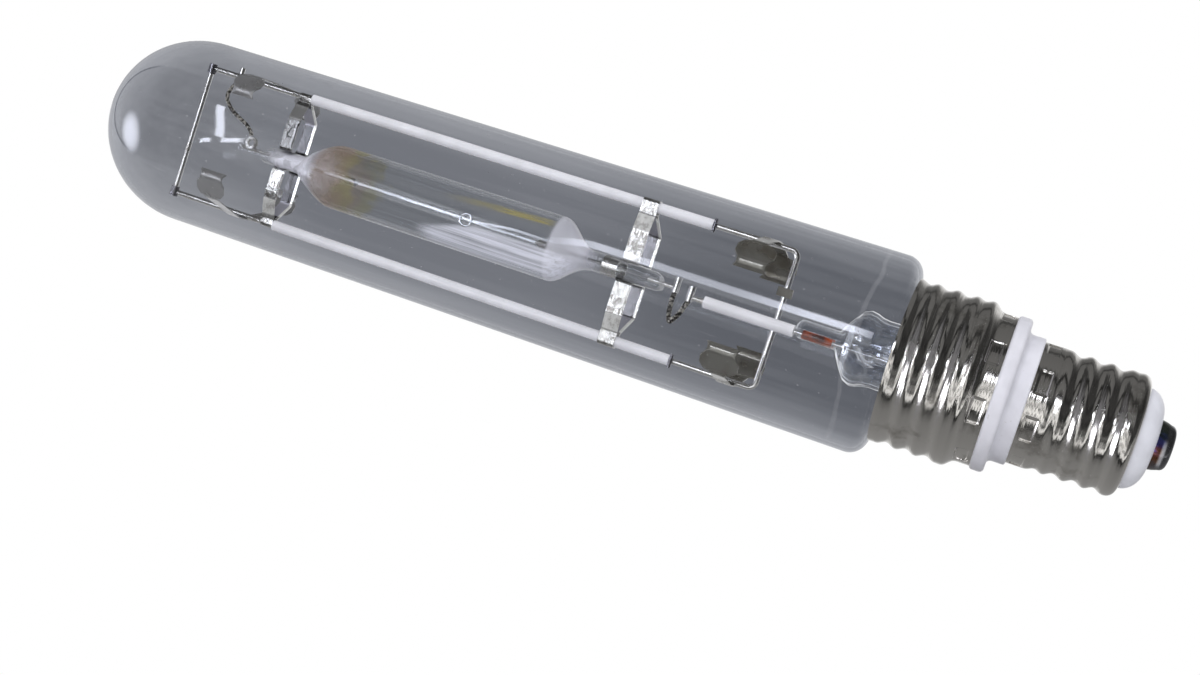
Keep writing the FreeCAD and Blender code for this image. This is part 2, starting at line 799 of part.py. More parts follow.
def make_screw_shell():
    """Rolled screw shell with a plain staked collar and a curled end round the insulator."""
    thread_start = shell_start_x + shell_collar_length
    curl_x = shell_end_x - shell_curl_radius
    rows = collar_rows(shell_start_x, thread_start, shell_crest_radius)[:-1]
    rows += thread_rows(thread_start, curl_x, shell_crest_radius, shell_thread_depth, shell_pitch)
    steps = 4
    for index in range(1, steps + 1):
        angle = math.pi / 2 * index / steps
        rows.append((curl_x + shell_curl_radius * math.sin(angle),
                     shell_crest_radius - shell_curl_radius * (1 - math.cos(angle)), 0.0))
    collar_bore = shell_crest_radius - shell_sheet
    bore = [(shell_start_x, collar_bore), (thread_start, collar_bore),
            (thread_start + shell_sheet, shell_bore_radius), (curl_x, shell_bore_radius),
            (shell_end_x, shell_crest_radius - shell_curl_radius - shell_sheet)]
    shell = rolled_sheet(rows, shell_pitch, bore)
    dent_x = shell_start_x + shell_collar_length / 2
    return collar_dents(shell, shell_crest_radius, dent_x, shell_dents, shell_dent_angle)


def make_cap_ring():
    """Stepped ceramic ring between skirt and screw shell, with a spigot into each."""
    skirt_spigot = skirt_collar_radius - skirt_sheet - fit_clearance
    shell_spigot = shell_crest_radius - shell_sheet - fit_clearance
    return turned(outline([
        (skirt_end_x - ring_spigot_length, ring_bore_radius),
        (skirt_end_x - ring_spigot_length, skirt_spigot),
        (skirt_end_x, skirt_spigot),
        (skirt_end_x, ring_flange_radius),
        (ring_shelf_x - ring_chamfer, ring_flange_radius),
        (ring_shelf_x, ring_flange_radius - ring_chamfer),
        (ring_shelf_x + ring_blend, ring_step_radius),
        (shell_start_x, ring_step_radius),
        (shell_start_x, shell_spigot),
        (shell_start_x + ring_spigot_length, shell_spigot),
        (shell_start_x + ring_spigot_length, ring_bore_radius),
    ]))


def make_cap_insulator():
    """Moulded insulator: a cone round the contact and a plug inside the shell's curled end."""
    wire_bore = lead_radius + fit_clearance
    plug = shell_crest_radius - shell_curl_radius - shell_sheet - fit_clearance
    return turned(outline([
        (shell_end_x - insulator_plug_depth, wire_bore),
        (shell_end_x - insulator_plug_depth, plug),
        (shell_end_x + fit_clearance, plug),
        (shell_end_x + fit_clearance, insulator_radius),
        (shell_end_x + insulator_rim, insulator_radius),
        (insulator_tip_x, contact_base_radius + contact_margin),
        (insulator_tip_x, wire_bore),
    ]))


def make_centre_contact():
    """Pressed contact button with a flat, worn tip."""
    return turned(outline([
        (insulator_tip_x, 0.0),
        (insulator_tip_x, contact_base_radius),
        (insulator_tip_x + contact_rim, contact_base_radius),
        (insulator_tip_x + 2 * contact_rim, contact_base_radius - contact_rim),
        (-contact_rim, contact_tip_radius + contact_rim),
        (0.0, contact_tip_radius),
        (0.0, 0.0),
    ]))


def make_contact_wire():
    """Wire from the feed lead through the ring and the insulator to the contact."""
    plug_x = shell_end_x - insulator_plug_depth - wire_bend
    return wire([lead_point(neck_rim_x + lead_tail, -1), lead_point(ring_shelf_x, -1), on_axis(plug_x),
                 on_axis(insulator_tip_x)], lead_radius)


def make_shell_wire():
    """Wire from the frame lead out to the inside of the screw shell."""
    start = lead_point(neck_rim_x + lead_tail, 1)
    turn = lead_point(shell_start_x + ring_spigot_length + wire_bend, 1)
    reach = math.sqrt((shell_bore_radius - fit_clearance) ** 2 - (feed_drop + lead_radius) ** 2)
    return wire([start, turn, on_axis(turn.x, reach, -feed_drop)], lead_radius)


def parts():
    """Every piece of the lamp by node name."""
    pieces = {
        "outer_bulb": make_outer_bulb(),
        "glass_stem": make_glass_stem(),
        "stem_lead_feed": make_stem_lead(-1),
        "stem_lead_frame": make_stem_lead(1),
        "stem_seal_feed": make_stem_seal(-1),
        "stem_seal_frame": make_stem_seal(1),
        "frame_rod": make_frame_rod(),
        "cross_rod": make_cross_rod(),
        "feed_sleeve": make_feed_sleeve(),
        "feed_rod": make_feed_rod(),
        "arc_tube": make_arc_tube(),
        "burner_band": make_burner_band(),
        "burner_ferrule": make_ferrule(burner_ferrule_top()),
        "feed_ferrule": make_ferrule(feed_ferrule_top()),
        "braid_base": make_braid_base(),
        "braid_dome": make_braid_dome(),
        "weld_post": make_weld_post(),
        "getter": make_getter(),
        "cap_skirt": make_cap_skirt(),
        "cap_ring": make_cap_ring(),
        "screw_shell": make_screw_shell(),
        "cap_insulator": make_cap_insulator(),
        "centre_contact": make_centre_contact(),
        "contact_wire": make_contact_wire(),
        "shell_wire": make_shell_wire(),
    }
    dome_pad_angles = {"upper": dome_pad_upper_angle, "lower": dome_pad_lower_angle}
    for name, side in (("upper", 1), ("lower", -1)):
        pieces["cross_collar_" + name] = make_cross_collar(side)
        pieces["frame_sleeve_" + name] = make_frame_sleeve(side)
        pieces["sleeve_stop_" + name] = make_sleeve_stop(side)
        pieces["strap_dome_" + name] = make_strap(
            strap_dome_x, strap_dome_width, frame_rod_radius, strap_dome_front, strap_dome_back, side)
        pieces["strap_base_" + name] = make_strap(
            strap_base_x, strap_base_width, sleeve_radius, strap_base_front, strap_base_back, side)
        pieces["spring_dome_" + name] = make_spring(
            dome_spring_x, dome_pad_length, dome_pad_width, dome_pad_angles[name], side)
        pieces["spring_base_" + name] = make_spring(
            spring_base_x, base_pad_length, base_pad_width, base_pad_angle, side)
    for name, hand in (("dome", -1), ("base", 1)):
        pieces["electrode_" + name] = make_electrode(hand)
        pieces["foil_" + name] = make_foil(hand)
        pieces["burner_lead_" + name] = make_burner_lead(hand)
    return pieces


os.makedirs("parts", exist_ok=True)
for node, shape in parts().items():
    shape.exportStep("parts/" + node + ".step")
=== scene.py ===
"""Studio scene of a clear tubular discharge lamp with a skirted screw cap.

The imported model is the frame. The lamp lies along X with the tip of its contact at the origin, and its
wire frame stands in the XZ plane. Sizes of pieces are in millimetres and those of the studio in metres.
"""
from __future__ import annotations

import logging
import math
from collections.abc import Iterable, Sequence
from dataclasses import dataclass
from enum import Enum

import bpy
from mathutils import Matrix, Vector

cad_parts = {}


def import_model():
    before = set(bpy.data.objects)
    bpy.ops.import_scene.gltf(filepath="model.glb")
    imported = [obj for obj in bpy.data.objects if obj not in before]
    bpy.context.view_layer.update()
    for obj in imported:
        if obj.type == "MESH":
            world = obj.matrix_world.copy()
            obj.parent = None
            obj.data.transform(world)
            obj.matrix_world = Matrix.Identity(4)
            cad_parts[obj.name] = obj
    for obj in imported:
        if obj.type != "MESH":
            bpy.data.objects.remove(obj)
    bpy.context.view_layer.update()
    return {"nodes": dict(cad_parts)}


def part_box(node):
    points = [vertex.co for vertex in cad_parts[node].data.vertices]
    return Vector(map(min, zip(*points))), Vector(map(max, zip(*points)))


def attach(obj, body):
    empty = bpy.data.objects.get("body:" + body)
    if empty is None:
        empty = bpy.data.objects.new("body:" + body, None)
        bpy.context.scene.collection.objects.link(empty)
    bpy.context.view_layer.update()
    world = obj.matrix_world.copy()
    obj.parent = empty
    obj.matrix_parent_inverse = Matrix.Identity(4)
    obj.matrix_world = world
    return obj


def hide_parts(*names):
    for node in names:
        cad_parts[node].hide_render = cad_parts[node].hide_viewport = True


log = logging.getLogger("lamp")
MM = 0.001
MERGE_REACH = 0.001 * MM
SMOOTH_ANGLE = math.radians(40.0)
GLASS_SIDES = 48

# The ends of the burner's round body, and the ends of its two pinches.
BODY_DOME_X = -290.7
BODY_BASE_X = -205.7
PINCH_DOME_X = -320.2
PINCH_BASE_X = -167.2

# A station of drawn glass is x, half width along Y, half height along Z, and turn in degrees.
Colour = tuple[float, float, float]
Point = tuple[float, float]
Station = tuple[float, float, float, float]
WHITE: Colour = (1.0, 1.0, 1.0)


class Signal:
    """A node socket that takes part in arithmetic: each operator adds a Math node."""

    def __init__(self, desk: "NodeDesk", socket: bpy.types.NodeSocket) -> None:
        """Wraps an output socket.

        Args:
            desk: the node tree that the socket belongs to.
            socket: an output socket.
        """
        self.desk = desk
        self.socket = socket

    def __add__(self, other: object) -> "Signal":
        """self + other."""
        return self.desk.math("ADD", self, other)

    def __radd__(self, other: object) -> "Signal":
        """other + self."""
        return self.desk.math("ADD", other, self)

    def __sub__(self, other: object) -> "Signal":
        """self - other."""
        return self.desk.math("SUBTRACT", self, other)

    def __rsub__(self, other: object) -> "Signal":
        """other - self."""
        return self.desk.math("SUBTRACT", other, self)

    def __mul__(self, other: object) -> "Signal":
        """self * other."""
        return self.desk.math("MULTIPLY", self, other)

    def __rmul__(self, other: object) -> "Signal":
        """other * self."""
        return self.desk.math("MULTIPLY", other, self)

    def __truediv__(self, other: object) -> "Signal":
        """self / other."""
        return self.desk.math("DIVIDE", self, other)

    def __pow__(self, other: object) -> "Signal":
        """self to a power."""
        return self.desk.math("POWER", self, other)

    def clamp(self) -> "Signal":
        """Self held between 0 and 1."""
        held = self.desk.math("ADD", self, 0.0)
        held.socket.node.use_clamp = True
        return held

    def fade(self, low: float, high: float, start: float = 0.0, end: float = 1.0) -> "Signal":
        """A smooth step from start to end as self goes from low to high."""
        settings = {"interpolation_type": "SMOOTHSTEP"}
        return self.desk.add("ShaderNodeMapRange", settings, {0: self, 1: low, 2: high, 3: start, 4: end})

    def band(self, start: float, full: float, fall: float, end: float) -> "Signal":
        """1 where self is between full and fall, fading to 0 at start and at end."""
        return self.fade(start, full) * self.fade(end, fall)


class NodeDesk:
    """Builds the node tree of one material or world."""

    def __init__(self, owner: bpy.types.Material | bpy.types.World) -> None:
        """Clears the owner's node tree.

        Args:
            owner: a material or a world.
        """
        owner.use_nodes = True
        self.tree = owner.node_tree
        self.tree.nodes.clear()

    def add(self, kind: str, settings: dict | None = None, inputs: dict | None = None,
            output: int | str = 0) -> Signal:
        """Adds a node.

        Args:
            kind: the node's type.
            settings: its properties, set first.
            inputs: values or signals for its sockets, by name or number.
            output: which of its outputs to return.

        Returns:
            The chosen output.
        """
        node = self.tree.nodes.new(kind)
        for name, value in (settings or {}).items():
            setattr(node, name, value)
        for name, value in (inputs or {}).items():
            self.feed(node.inputs[name], value)
        chosen = node.outputs[output] if len(node.outputs) else None
        return Signal(self, chosen)

    def feed(self, socket: bpy.types.NodeSocket, value: object) -> None:
        """Links a signal to a socket, or sets the socket's own value."""
        if isinstance(value, Signal):
            self.tree.links.new(value.socket, socket)
        elif isinstance(value, tuple) and len(value) == 3 and socket.type == "RGBA":
            socket.default_value = (*value, 1.0)
        else:
            socket.default_value = value

    def math(self, operation: str, first: object, second: object = 0.0) -> Signal:
        """Adds one Math node.

        Args:
            operation: the Math node's operation.
            first: its first value or signal.
            second: its second value or signal, which some operations leave out.

        Returns:
            The node's result.
        """
        return self.add("ShaderNodeMath", {"operation": operation}, {0: first, 1: second})

    def ramp(self, signal: Signal, stops: Sequence[tuple[float, Colour]]) -> Signal:
        """A colour ramp over a signal.

        Args:
            signal: where to read the ramp, from 0 to 1.
            stops: places and their colours.

        Returns:
            The colour.
        """
        colour = self.add("ShaderNodeValToRGB", inputs={"Fac": signal})
        elements = colour.socket.node.color_ramp.elements
        while len(elements) < len(stops):
            elements.new(0.5)
        for element, (place, value) in zip(elements, stops):
            element.position = place
            element.color = (*value, 1.0)
        return colour

    def blend(self, amount: object, first: object, second: object) -> Signal:
        """A colour between first and second by amount."""
        settings = {"data_type": "RGBA"}
        return self.add("ShaderNodeMix", settings, {0: amount, 6: first, 7: second}, output=2)

    def mix(self, amount: object, first: Signal, second: Signal) -> Signal:
        """A shader between first and second by amount."""
        return self.add("ShaderNodeMixShader", inputs={0: amount, 1: first, 2: second})

    def see_through(self, colour: Colour) -> Signal:
        """A clear shader that colours what is behind it."""
        return self.add("ShaderNodeBsdfTransparent", inputs={"Color": colour})

    def ray(self, kind: str) -> Signal:
        """1 for a kind of ray, or 0."""
        return self.add("ShaderNodeLightPath", output=kind)

    def place(self, scale: tuple[float, float, float] = (1.0, 1.0, 1.0)) -> Signal:
        """Object coordinates in millimetres, stretched by scale."""
        spot = self.add("ShaderNodeTexCoord", output="Object")
        stretch = tuple(s / MM for s in scale)
        return self.add("ShaderNodeMapping", inputs={"Vector": spot, "Scale": stretch})

    def noise(self, place: Signal, scale: float, detail: float = 2.0, roughness: float = 0.5) -> Signal:
        """Noise from 0 to 1, at a scale in features per millimetre."""
        return self.add("ShaderNodeTexNoise",
                        inputs={"Vector": place, "Scale": scale, "Detail": detail, "Roughness": roughness})

    def bump(self, height: Signal, depth_mm: float, strength: float = 1.0) -> Signal:
        """A bump of a height signal, with its depth in millimetres."""
        return self.add("ShaderNodeBump",
                        inputs={"Height": height, "Distance": depth_mm * MM, "Strength": strength})

    def axes(self, place: Signal | None = None) -> tuple[Signal, Signal, Signal]:
        """The three numbers of a vector, or of the place on the lamp in millimetres."""
        node = self.add("ShaderNodeSeparateXYZ", inputs={"Vector": place or self.place()}).socket.node
        return tuple(Signal(self, out) for out in node.outputs)

    def principled(self, **inputs: object) -> Signal:
        """A Principled shader. Underscores in names stand for spaces."""
        named = {name.replace("_", " "): value for name, value in inputs.items()}
        return self.add("ShaderNodeBsdfPrincipled", inputs=named)

    def surface(self, shader: Signal) -> None:
        """Sends a shader to the output."""
        self.add("ShaderNodeOutputMaterial", inputs={"Surface": shader})


@dataclass(frozen=True)
class Finish:
    """A finish that can dress objects."""

    name: str

    def build(self, desk: NodeDesk) -> Signal:
        """Builds the shader. Each finish has its own."""
        raise NotImplementedError

    def material(self) -> bpy.types.Material:
        """The finish's material, made once."""
        found = bpy.data.materials.get(self.name)
        if found:
            return found
        made = bpy.data.materials.new(self.name)
        desk = NodeDesk(made)
        desk.surface(self.build(desk))
        return made


@dataclass(frozen=True)
class BlownGlass(Finish):
    """Thin clear glass: a see-through wall that mirrors more towards its edges."""

    tint: Colour = (0.985, 0.987, 0.99)
    mirror_tone: Colour = (0.93, 0.95, 1.0)
    polish: float = 0.016
    wave_mm: float = 0.12
    wave_scale: float = 0.05
    base_mirror: float = 0.02
    edge_mirror: float = 0.9

    def far_side(self, desk: NodeDesk, near: Signal, facing: Signal) -> Signal:
        """What the camera sees through the far side of the wall."""
        return near

    def cover(self, desk: NodeDesk, shader: Signal, facing: Signal) -> Signal:
        """What lies on the glass. Plain glass has nothing."""
        return shader

    def mirror(self, desk: NodeDesk, facing: Signal) -> Signal:
        """The share of light that the surface mirrors."""
        return (self.base_mirror + self.edge_mirror * facing ** 4).clamp()

    def build(self, desk: NodeDesk) -> Signal:
        """See the class."""
        drawn = desk.noise(desk.place((0.2, 1.0, 1.0)), self.wave_scale, 1.0)
        normal = desk.bump(drawn, self.wave_mm)
        facing = desk.add("ShaderNodeLayerWeight", inputs={"Blend": 0.5, "Normal": normal}, output="Facing")
        mirrored = self.mirror(desk, facing)
        clear = desk.see_through(self.tint)
        clear = self.far_side(desk, clear, facing)
        gloss = desk.principled(Base_Color=self.mirror_tone, Metallic=1.0, Roughness=self.polish,
                                Normal=normal)
        wall = desk.mix(mirrored, clear, gloss)
        wall = self.cover(desk, wall, facing)
        open_way = desk.see_through(WHITE)
        lamp_ray = desk.ray("Is Shadow Ray")
        return desk.mix(lamp_ray, wall, open_way)


@dataclass(frozen=True)
class StemGlass(BlownGlass):
    """Stem glass, which mirrors most at its uneven crown and least at the edges of its press."""

    press_end_x: float = -112.0
    press_edge: float = 0.45
    crown_start_x: float = -106.0
    crown_end_x: float = -84.0
    crown_mirror: float = 0.20

    def mirror(self, desk: NodeDesk, facing: Signal) -> Signal:
        """See the class."""
        x = desk.axes()[0]
        start, end = self.crown_start_x, self.crown_end_x
        crown = x.band(start, start + 4.0, end - 6.0, end)
        broken = desk.noise(desk.place(), 0.25, 2.0).fade(0.40, 0.60)
        edges = x.fade(self.press_end_x, self.press_end_x + 6.0, self.press_edge, 1.0)
        edges = edges * self.edge_mirror * facing ** 4
        return (self.base_mirror + crown * broken * self.crown_mirror + edges).clamp()


@dataclass(frozen=True)
class EnvelopeGlass(BlownGlass):
    """The outer bulb's glass.

    Its far side darkens what is seen through it with a painted grey, as a grey room behind a clear bulb does:
    more in the middle than at the edges and at the dome, and most at the base end.
    """

    far_tint: Colour = (0.180, 0.188, 0.212)
    edge_tint: Colour = (0.36, 0.37, 0.40)
    deep_tint: Colour = (0.120, 0.127, 0.146)
    dust_and_highlight_tone: Colour = (0.80, 0.80, 0.84)
    dome_x: float = -347.6
    oval_reach: float = 20.6
    oval_height: float = 16.8
    oval_rise: float = 1.8
    shine_start_x: float = -200.0
    shine_end_x: float = -176.0
    ring_x: float = -97.5

    def far_side(self, desk: NodeDesk, near: Signal, facing: Signal) -> Signal:
        """See the base class."""
        x, y, z = desk.axes()
        haze = desk.noise(desk.place((0.15, 1.0, 1.0)), 0.045, 3.0, 0.6).fade(0.3, 0.7, -0.10, 0.10)
        streaks = desk.noise(desk.place((0.02, 1.0, 1.0)), 0.35, 2.0).fade(0.3, 0.7, -0.05, 0.05)
        dome = x.fade(self.dome_x + 60.0, self.dome_x - 34.0, 0.0, 0.34)
        light = (facing.fade(0.12, 0.85, 0.0, 0.9) + dome + haze + streaks).clamp()
        # Painted grey of a room behind the bulb, made paler towards the edges and the dome.
        dark = desk.see_through(self.far_tint)
        deep = desk.see_through(self.deep_tint)
        pale = desk.see_through(self.edge_tint)
        dark = desk.mix(x.fade(-225.0, -140.0), dark, deep)
        shaded = desk.mix(light, dark, pale)
        near = desk.mix(self.oval(desk, x, y, z), near, pale)
        path = desk.ray("Is Camera Ray")
        behind = desk.add("ShaderNodeNewGeometry", output="Backfacing")
        seen = desk.mix(path, near, shaded)
        return desk.mix(behind, near, seen)

    def oval(self, desk: NodeDesk, x: Signal, y: Signal, z: Signal) -> Signal:
        """The darker field inside the dome, with a thin line round it where the blown wall thickens."""
        past = desk.math("MINIMUM", x - self.dome_x, 0.0)
        along = past / self.oval_reach
        high = (z - self.oval_rise) / self.oval_height
        away = desk.math("SQRT", along * along + high * high)
        line = away.band(0.962, 0.984, 1.0, 1.022) * past.fade(-4.0, -12.0, 0.0, 0.80)
        field = away.fade(1.02, 0.95) * x.fade(self.dome_x + 50.0, self.dome_x - 4.0, 0.0, 0.17)
        return ((line + field) * y.fade(0.0, -4.0)).clamp()

    def mirror(self, desk: NodeDesk, facing: Signal) -> Signal:
        """The base end mirrors more than the middle of the tube, above all along one line."""
        x, y, z = desk.axes()
        base_end = x.fade(self.shine_start_x, self.shine_end_x, 0.0, 1.0)
        base_end = base_end * (z.band(0.5, 2.5, 7.5, 9.5) * 0.8 + 0.2)
        dome_end = x.fade(self.dome_x + 44.0, self.dome_x + 38.0, 0.0, 1.0)
        near = y.fade(6.0, -6.0, 0.15, 1.0)
        return ((base_end + dome_end) * near * self.base_mirror + self.edge_mirror * facing ** 5).clamp()

    def cover(self, desk: NodeDesk, shader: Signal, facing: Signal) -> Signal:
        """Dust, fine rubs and a faint ring of painted highlight where the wall thickens before the shoulder.
        """
        place = desk.place()
        rubs = desk.noise(desk.place((0.1, 1.0, 1.0)), 0.5, 4.0, 0.65).fade(0.62, 0.80, 0.0, 0.05)
        specks = desk.noise(place, 0.9, 0.0).fade(0.83, 0.87, 0.0, 0.15)
        x, y, z = desk.axes(place)
        bend = x + desk.noise(place, 0.05, 1.0).fade(0.2, 0.8, -1.5, 1.5)
        # The ring is a painted highlight on the front of the wall where it thickens.
        ring = bend.band(self.ring_x - 1.1, self.ring_x - 0.3, self.ring_x + 0.3, self.ring_x + 1.1)
        ring = ring * y.fade(4.0, -4.0) * 0.07
        # Dust and the painted highlight ring share one pale layer.
        dust_and_highlight = desk.principled(Base_Color=self.dust_and_highlight_tone, Roughness=0.6)
        return desk.mix((rubs + specks + ring).clamp(), shader, dust_and_highlight)


@dataclass(frozen=True)
class FrostedQuartz(BlownGlass):
    """Fused quartz: clear, with milky ends, a painted reflection in a streaked patch and burnt deposits
    inside.
    """

    edge_tone: Colour = (0.42, 0.43, 0.46)
    milk_tone: Colour = (0.60, 0.60, 0.67)
    burnt_tone: Colour = (0.25, 0.17, 0.11)
    yellow_tone: Colour = (0.22, 0.20, 0.055)
    gold_tone: Colour = (0.33, 0.28, 0.07)
    # Colour of the painted reflection of white paper on the base end.
    painted_reflection_tone: Colour = (0.84, 0.85, 0.96)

    def cover(self, desk: NodeDesk, shader: Signal, facing: Signal) -> Signal:
        """See the class."""
        x, y, z = desk.axes()
        for amount, tone, rough in (
                (self.thick_edge(facing), self.edge_tone, 0.4),
                (self.milk(desk, x), self.milk_tone, 0.35),
                (self.stain(desk, x), self.stain_tone(desk, x), 0.5),
                (self.gold_line(desk, x, y, z), self.gold_tone, 0.5),
                (self.painted_reflection(desk, x, y, z), self.painted_reflection_tone, 0.3)):
            layer = desk.principled(Base_Color=tone, Roughness=rough)
            shader = desk.mix(amount, shader, layer)
        return shader

    def thick_edge(self, facing: Signal) -> Signal:
        """The wall seen edge on is paler."""
        return facing.fade(0.45, 0.85, 0.0, 0.42)

    def milk(self, desk: NodeDesk, x: Signal) -> Signal:
        """Frosting of the cone at the base and of the drawn end at the dome."""
        silk = desk.noise(desk.place((0.12, 1.0, 1.0)), 0.9, 3.0, 0.6)
        cloud = desk.noise(desk.place(), 0.30, 3.0, 0.6)
        base_cone = x.fade(BODY_BASE_X - 1.2, BODY_BASE_X + 0.6, 0.0, 0.60)
        base_cone = base_cone * x.fade(BODY_BASE_X + 15.5, BODY_BASE_X + 11.0)
        neck = x.band(PINCH_DOME_X + 2.0, PINCH_DOME_X + 10.0, BODY_DOME_X - 11.0, BODY_DOME_X - 7.0)
        rim = x.fade(BODY_DOME_X - 1.0, BODY_DOME_X - 9.0, 0.0, 0.35)
        rim = rim * x.fade(PINCH_DOME_X - 1.0, PINCH_DOME_X + 8.0)
        tail = x.fade(PINCH_BASE_X - 26.0, PINCH_BASE_X - 23.0) * silk.fade(0.5, 0.75, 0.0, 0.35)
        uneven = cloud.fade(0.42, 0.60, 0.30, 0.95)
        return (base_cone + neck * uneven + rim * (0.5 + silk) + tail).clamp()

    def stain(self, desk: NodeDesk, x: Signal) -> Signal:
        """Burnt deposit round the electrode of the dome end, with a ragged edge."""
        ragged = desk.noise(desk.place(), 0.16, 3.0, 0.65).fade(0.2, 0.8, -6.0, 6.0)
        reach = (x + ragged).fade(BODY_DOME_X + 14.0, BODY_DOME_X + 9.0)
        return reach * x.fade(BODY_DOME_X - 9.0, BODY_DOME_X - 4.0, 0.0, 0.46)

    def stain_tone(self, desk: NodeDesk, x: Signal) -> Signal:
        """Brown in the middle and yellow-green towards the edge."""
        patches = desk.noise(desk.place(), 0.2, 2.0).fade(0.2, 0.8, -4.0, 4.0)
        return desk.blend((x + patches).fade(BODY_DOME_X + 2.0, BODY_DOME_X + 9.0),
                          self.burnt_tone, self.yellow_tone)

    def gold_line(self, desk: NodeDesk, x: Signal, y: Signal, z: Signal) -> Signal:
        """Thin yellow deposit along the top of the body."""
        along = x.band(BODY_BASE_X - 44.0, BODY_BASE_X - 18.0, BODY_BASE_X - 3.0, BODY_BASE_X + 1.0)
        height = z - 0.045 * (x - BODY_BASE_X)
        line = height.band(6.2, 7.2, 8.0, 9.2) * y.fade(0.0, -2.0)
        broken = desk.noise(desk.place((0.1, 1.0, 1.0)), 0.8, 2.0).fade(0.3, 0.55, 0.15, 0.60)
        return along * line * broken

    def painted_reflection(self, desk: NodeDesk, x: Signal, y: Signal, z: Signal) -> Signal:
        """A painted reflection of white paper in the lower half of the base end, drawn out in streaks."""
        streaks = desk.noise(desk.place((0.02, 1.0, 1.0)), 0.9, 3.0, 0.6)
        fine = desk.noise(desk.place((0.03, 1.0, 1.0)), 2.6, 2.0, 0.6)
        start = BODY_BASE_X - 50.0
        top = z - x.fade(start, start + 26.0, -6.5, -1.6)
        wedge = x.band(start, start + 9.0, BODY_BASE_X + 5.0, BODY_BASE_X + 13.0) * y.fade(2.0, -1.0)
        wedge = wedge * top.fade(1.0, -1.2) * z.fade(-11.2, -8.0, 0.4, 1.0)
        return wedge * (streaks.fade(0.30, 0.62, 0.30, 0.85) * fine.fade(0.25, 0.6, 0.8, 1.0)).clamp()


@dataclass(frozen=True)
class GlazedCeramic(Finish):
    """White ceramic with a soft glaze and a few dark specks."""

    colour: Colour = (0.80, 0.80, 0.86)
    speck_tone: Colour = (0.45, 0.44, 0.42)
    speck: float = 0.35

    def build(self, desk: NodeDesk) -> Signal:
        """See the class."""
        place = desk.place()
        cloud = desk.noise(place, 0.12, 3.0)
        specks = desk.noise(place, 0.9, 1.0).fade(0.72, 0.80)
        shade = tuple(c * 0.9 for c in self.colour)
        colour = desk.blend(cloud.fade(0.35, 0.7), self.colour, shade)
        colour = desk.blend(specks * self.speck, colour, self.speck_tone)
        grain = desk.noise(place, 1.6, 2.0)
        return desk.principled(Base_Color=colour, Roughness=0.42, Coat_Weight=0.25, Coat_Roughness=0.2,
                               Normal=desk.bump(grain, 0.03, 0.5))


@dataclass(frozen=True)
class PlatedSheet(Finish):
    """Nickel plated sheet with faint rolling marks and stains."""

    colour: Colour = (0.66, 0.64, 0.61)
    dark: Colour = (0.40, 0.38, 0.35)
    roughness: float = 0.10
    dent_rows: tuple[tuple[float, float, float], ...] = ((-57.9, 24.4, -17.0), (-41.6, 19.75, -23.0))
    dent_pitch: float = 45.0
    dent_half_x: float = 1.4
    dent_half_arc: float = 3.4

    def dents(self, desk: NodeDesk, place: Signal) -> Signal:
        """The pressed dents in each collar: 1 in a dent and 0 outside."""
        x, y, z = desk.axes(place)
        turn = desk.math("ARCTAN2", z, 0.0 - y) * (180 / math.pi)
        total = 0.0
        for centre_x, radius, first in self.dent_rows:
            count = (turn - first) / self.dent_pitch + 8.5
            share = desk.math("FRACT", count)
            arc_length = math.radians(self.dent_pitch) * radius
            away = desk.math("ABSOLUTE", (share - 0.5) * arc_length)
            along = desk.math("ABSOLUTE", x - centre_x)
            dent = along.fade(self.dent_half_x + 0.9, self.dent_half_x)
            total = dent * away.fade(self.dent_half_arc + 1.1, self.dent_half_arc) + total
        return total

    def build(self, desk: NodeDesk) -> Signal:
        """See the class."""
        place = desk.place()
        stains = desk.noise(place, 0.10, 5.0, 0.6)
        around = desk.noise(desk.place((8.0, 0.5, 0.5)), 0.16, 2.0)
        colour = desk.blend(stains.fade(0.5, 0.75), self.colour, self.dark)
        rough = stains.fade(0.35, 0.8, self.roughness, self.roughness + 0.16)
        height = around * 2.0 + 0.25 * desk.noise(place, 1.2, 3.0) - self.dents(desk, place) * 8.0
        return desk.principled(Base_Color=colour, Metallic=1.0, Roughness=rough,
                               Normal=desk.bump(height, 0.07, 0.8))


@dataclass(frozen=True)
class BareMetal(Finish):
    """Bright or dark wire and strip, with drawing marks and heat tint."""

    colour: Colour = (0.60, 0.60, 0.60)
    tint: Colour = (0.34, 0.31, 0.28)
    roughness: float = 0.22
    tint_share: float = 0.5
    metallic: float = 1.0
    patch_scale: float = 0.22

    def build(self, desk: NodeDesk) -> Signal:
        """See the class."""
        place = desk.place()
        patches = desk.noise(place, self.patch_scale, 3.0, 0.5)
        colour = desk.blend(patches.fade(0.45, 0.7, 0.0, self.tint_share), self.colour, self.tint)
        marks = desk.noise(desk.place((0.2, 3.0, 3.0)), 1.0, 2.0)
        rough = patches.fade(0.3, 0.8, self.roughness, self.roughness + 0.2)
        return desk.principled(Base_Color=colour, Metallic=self.metallic, Roughness=rough,
                               Normal=desk.bump(marks, 0.015, 0.5))


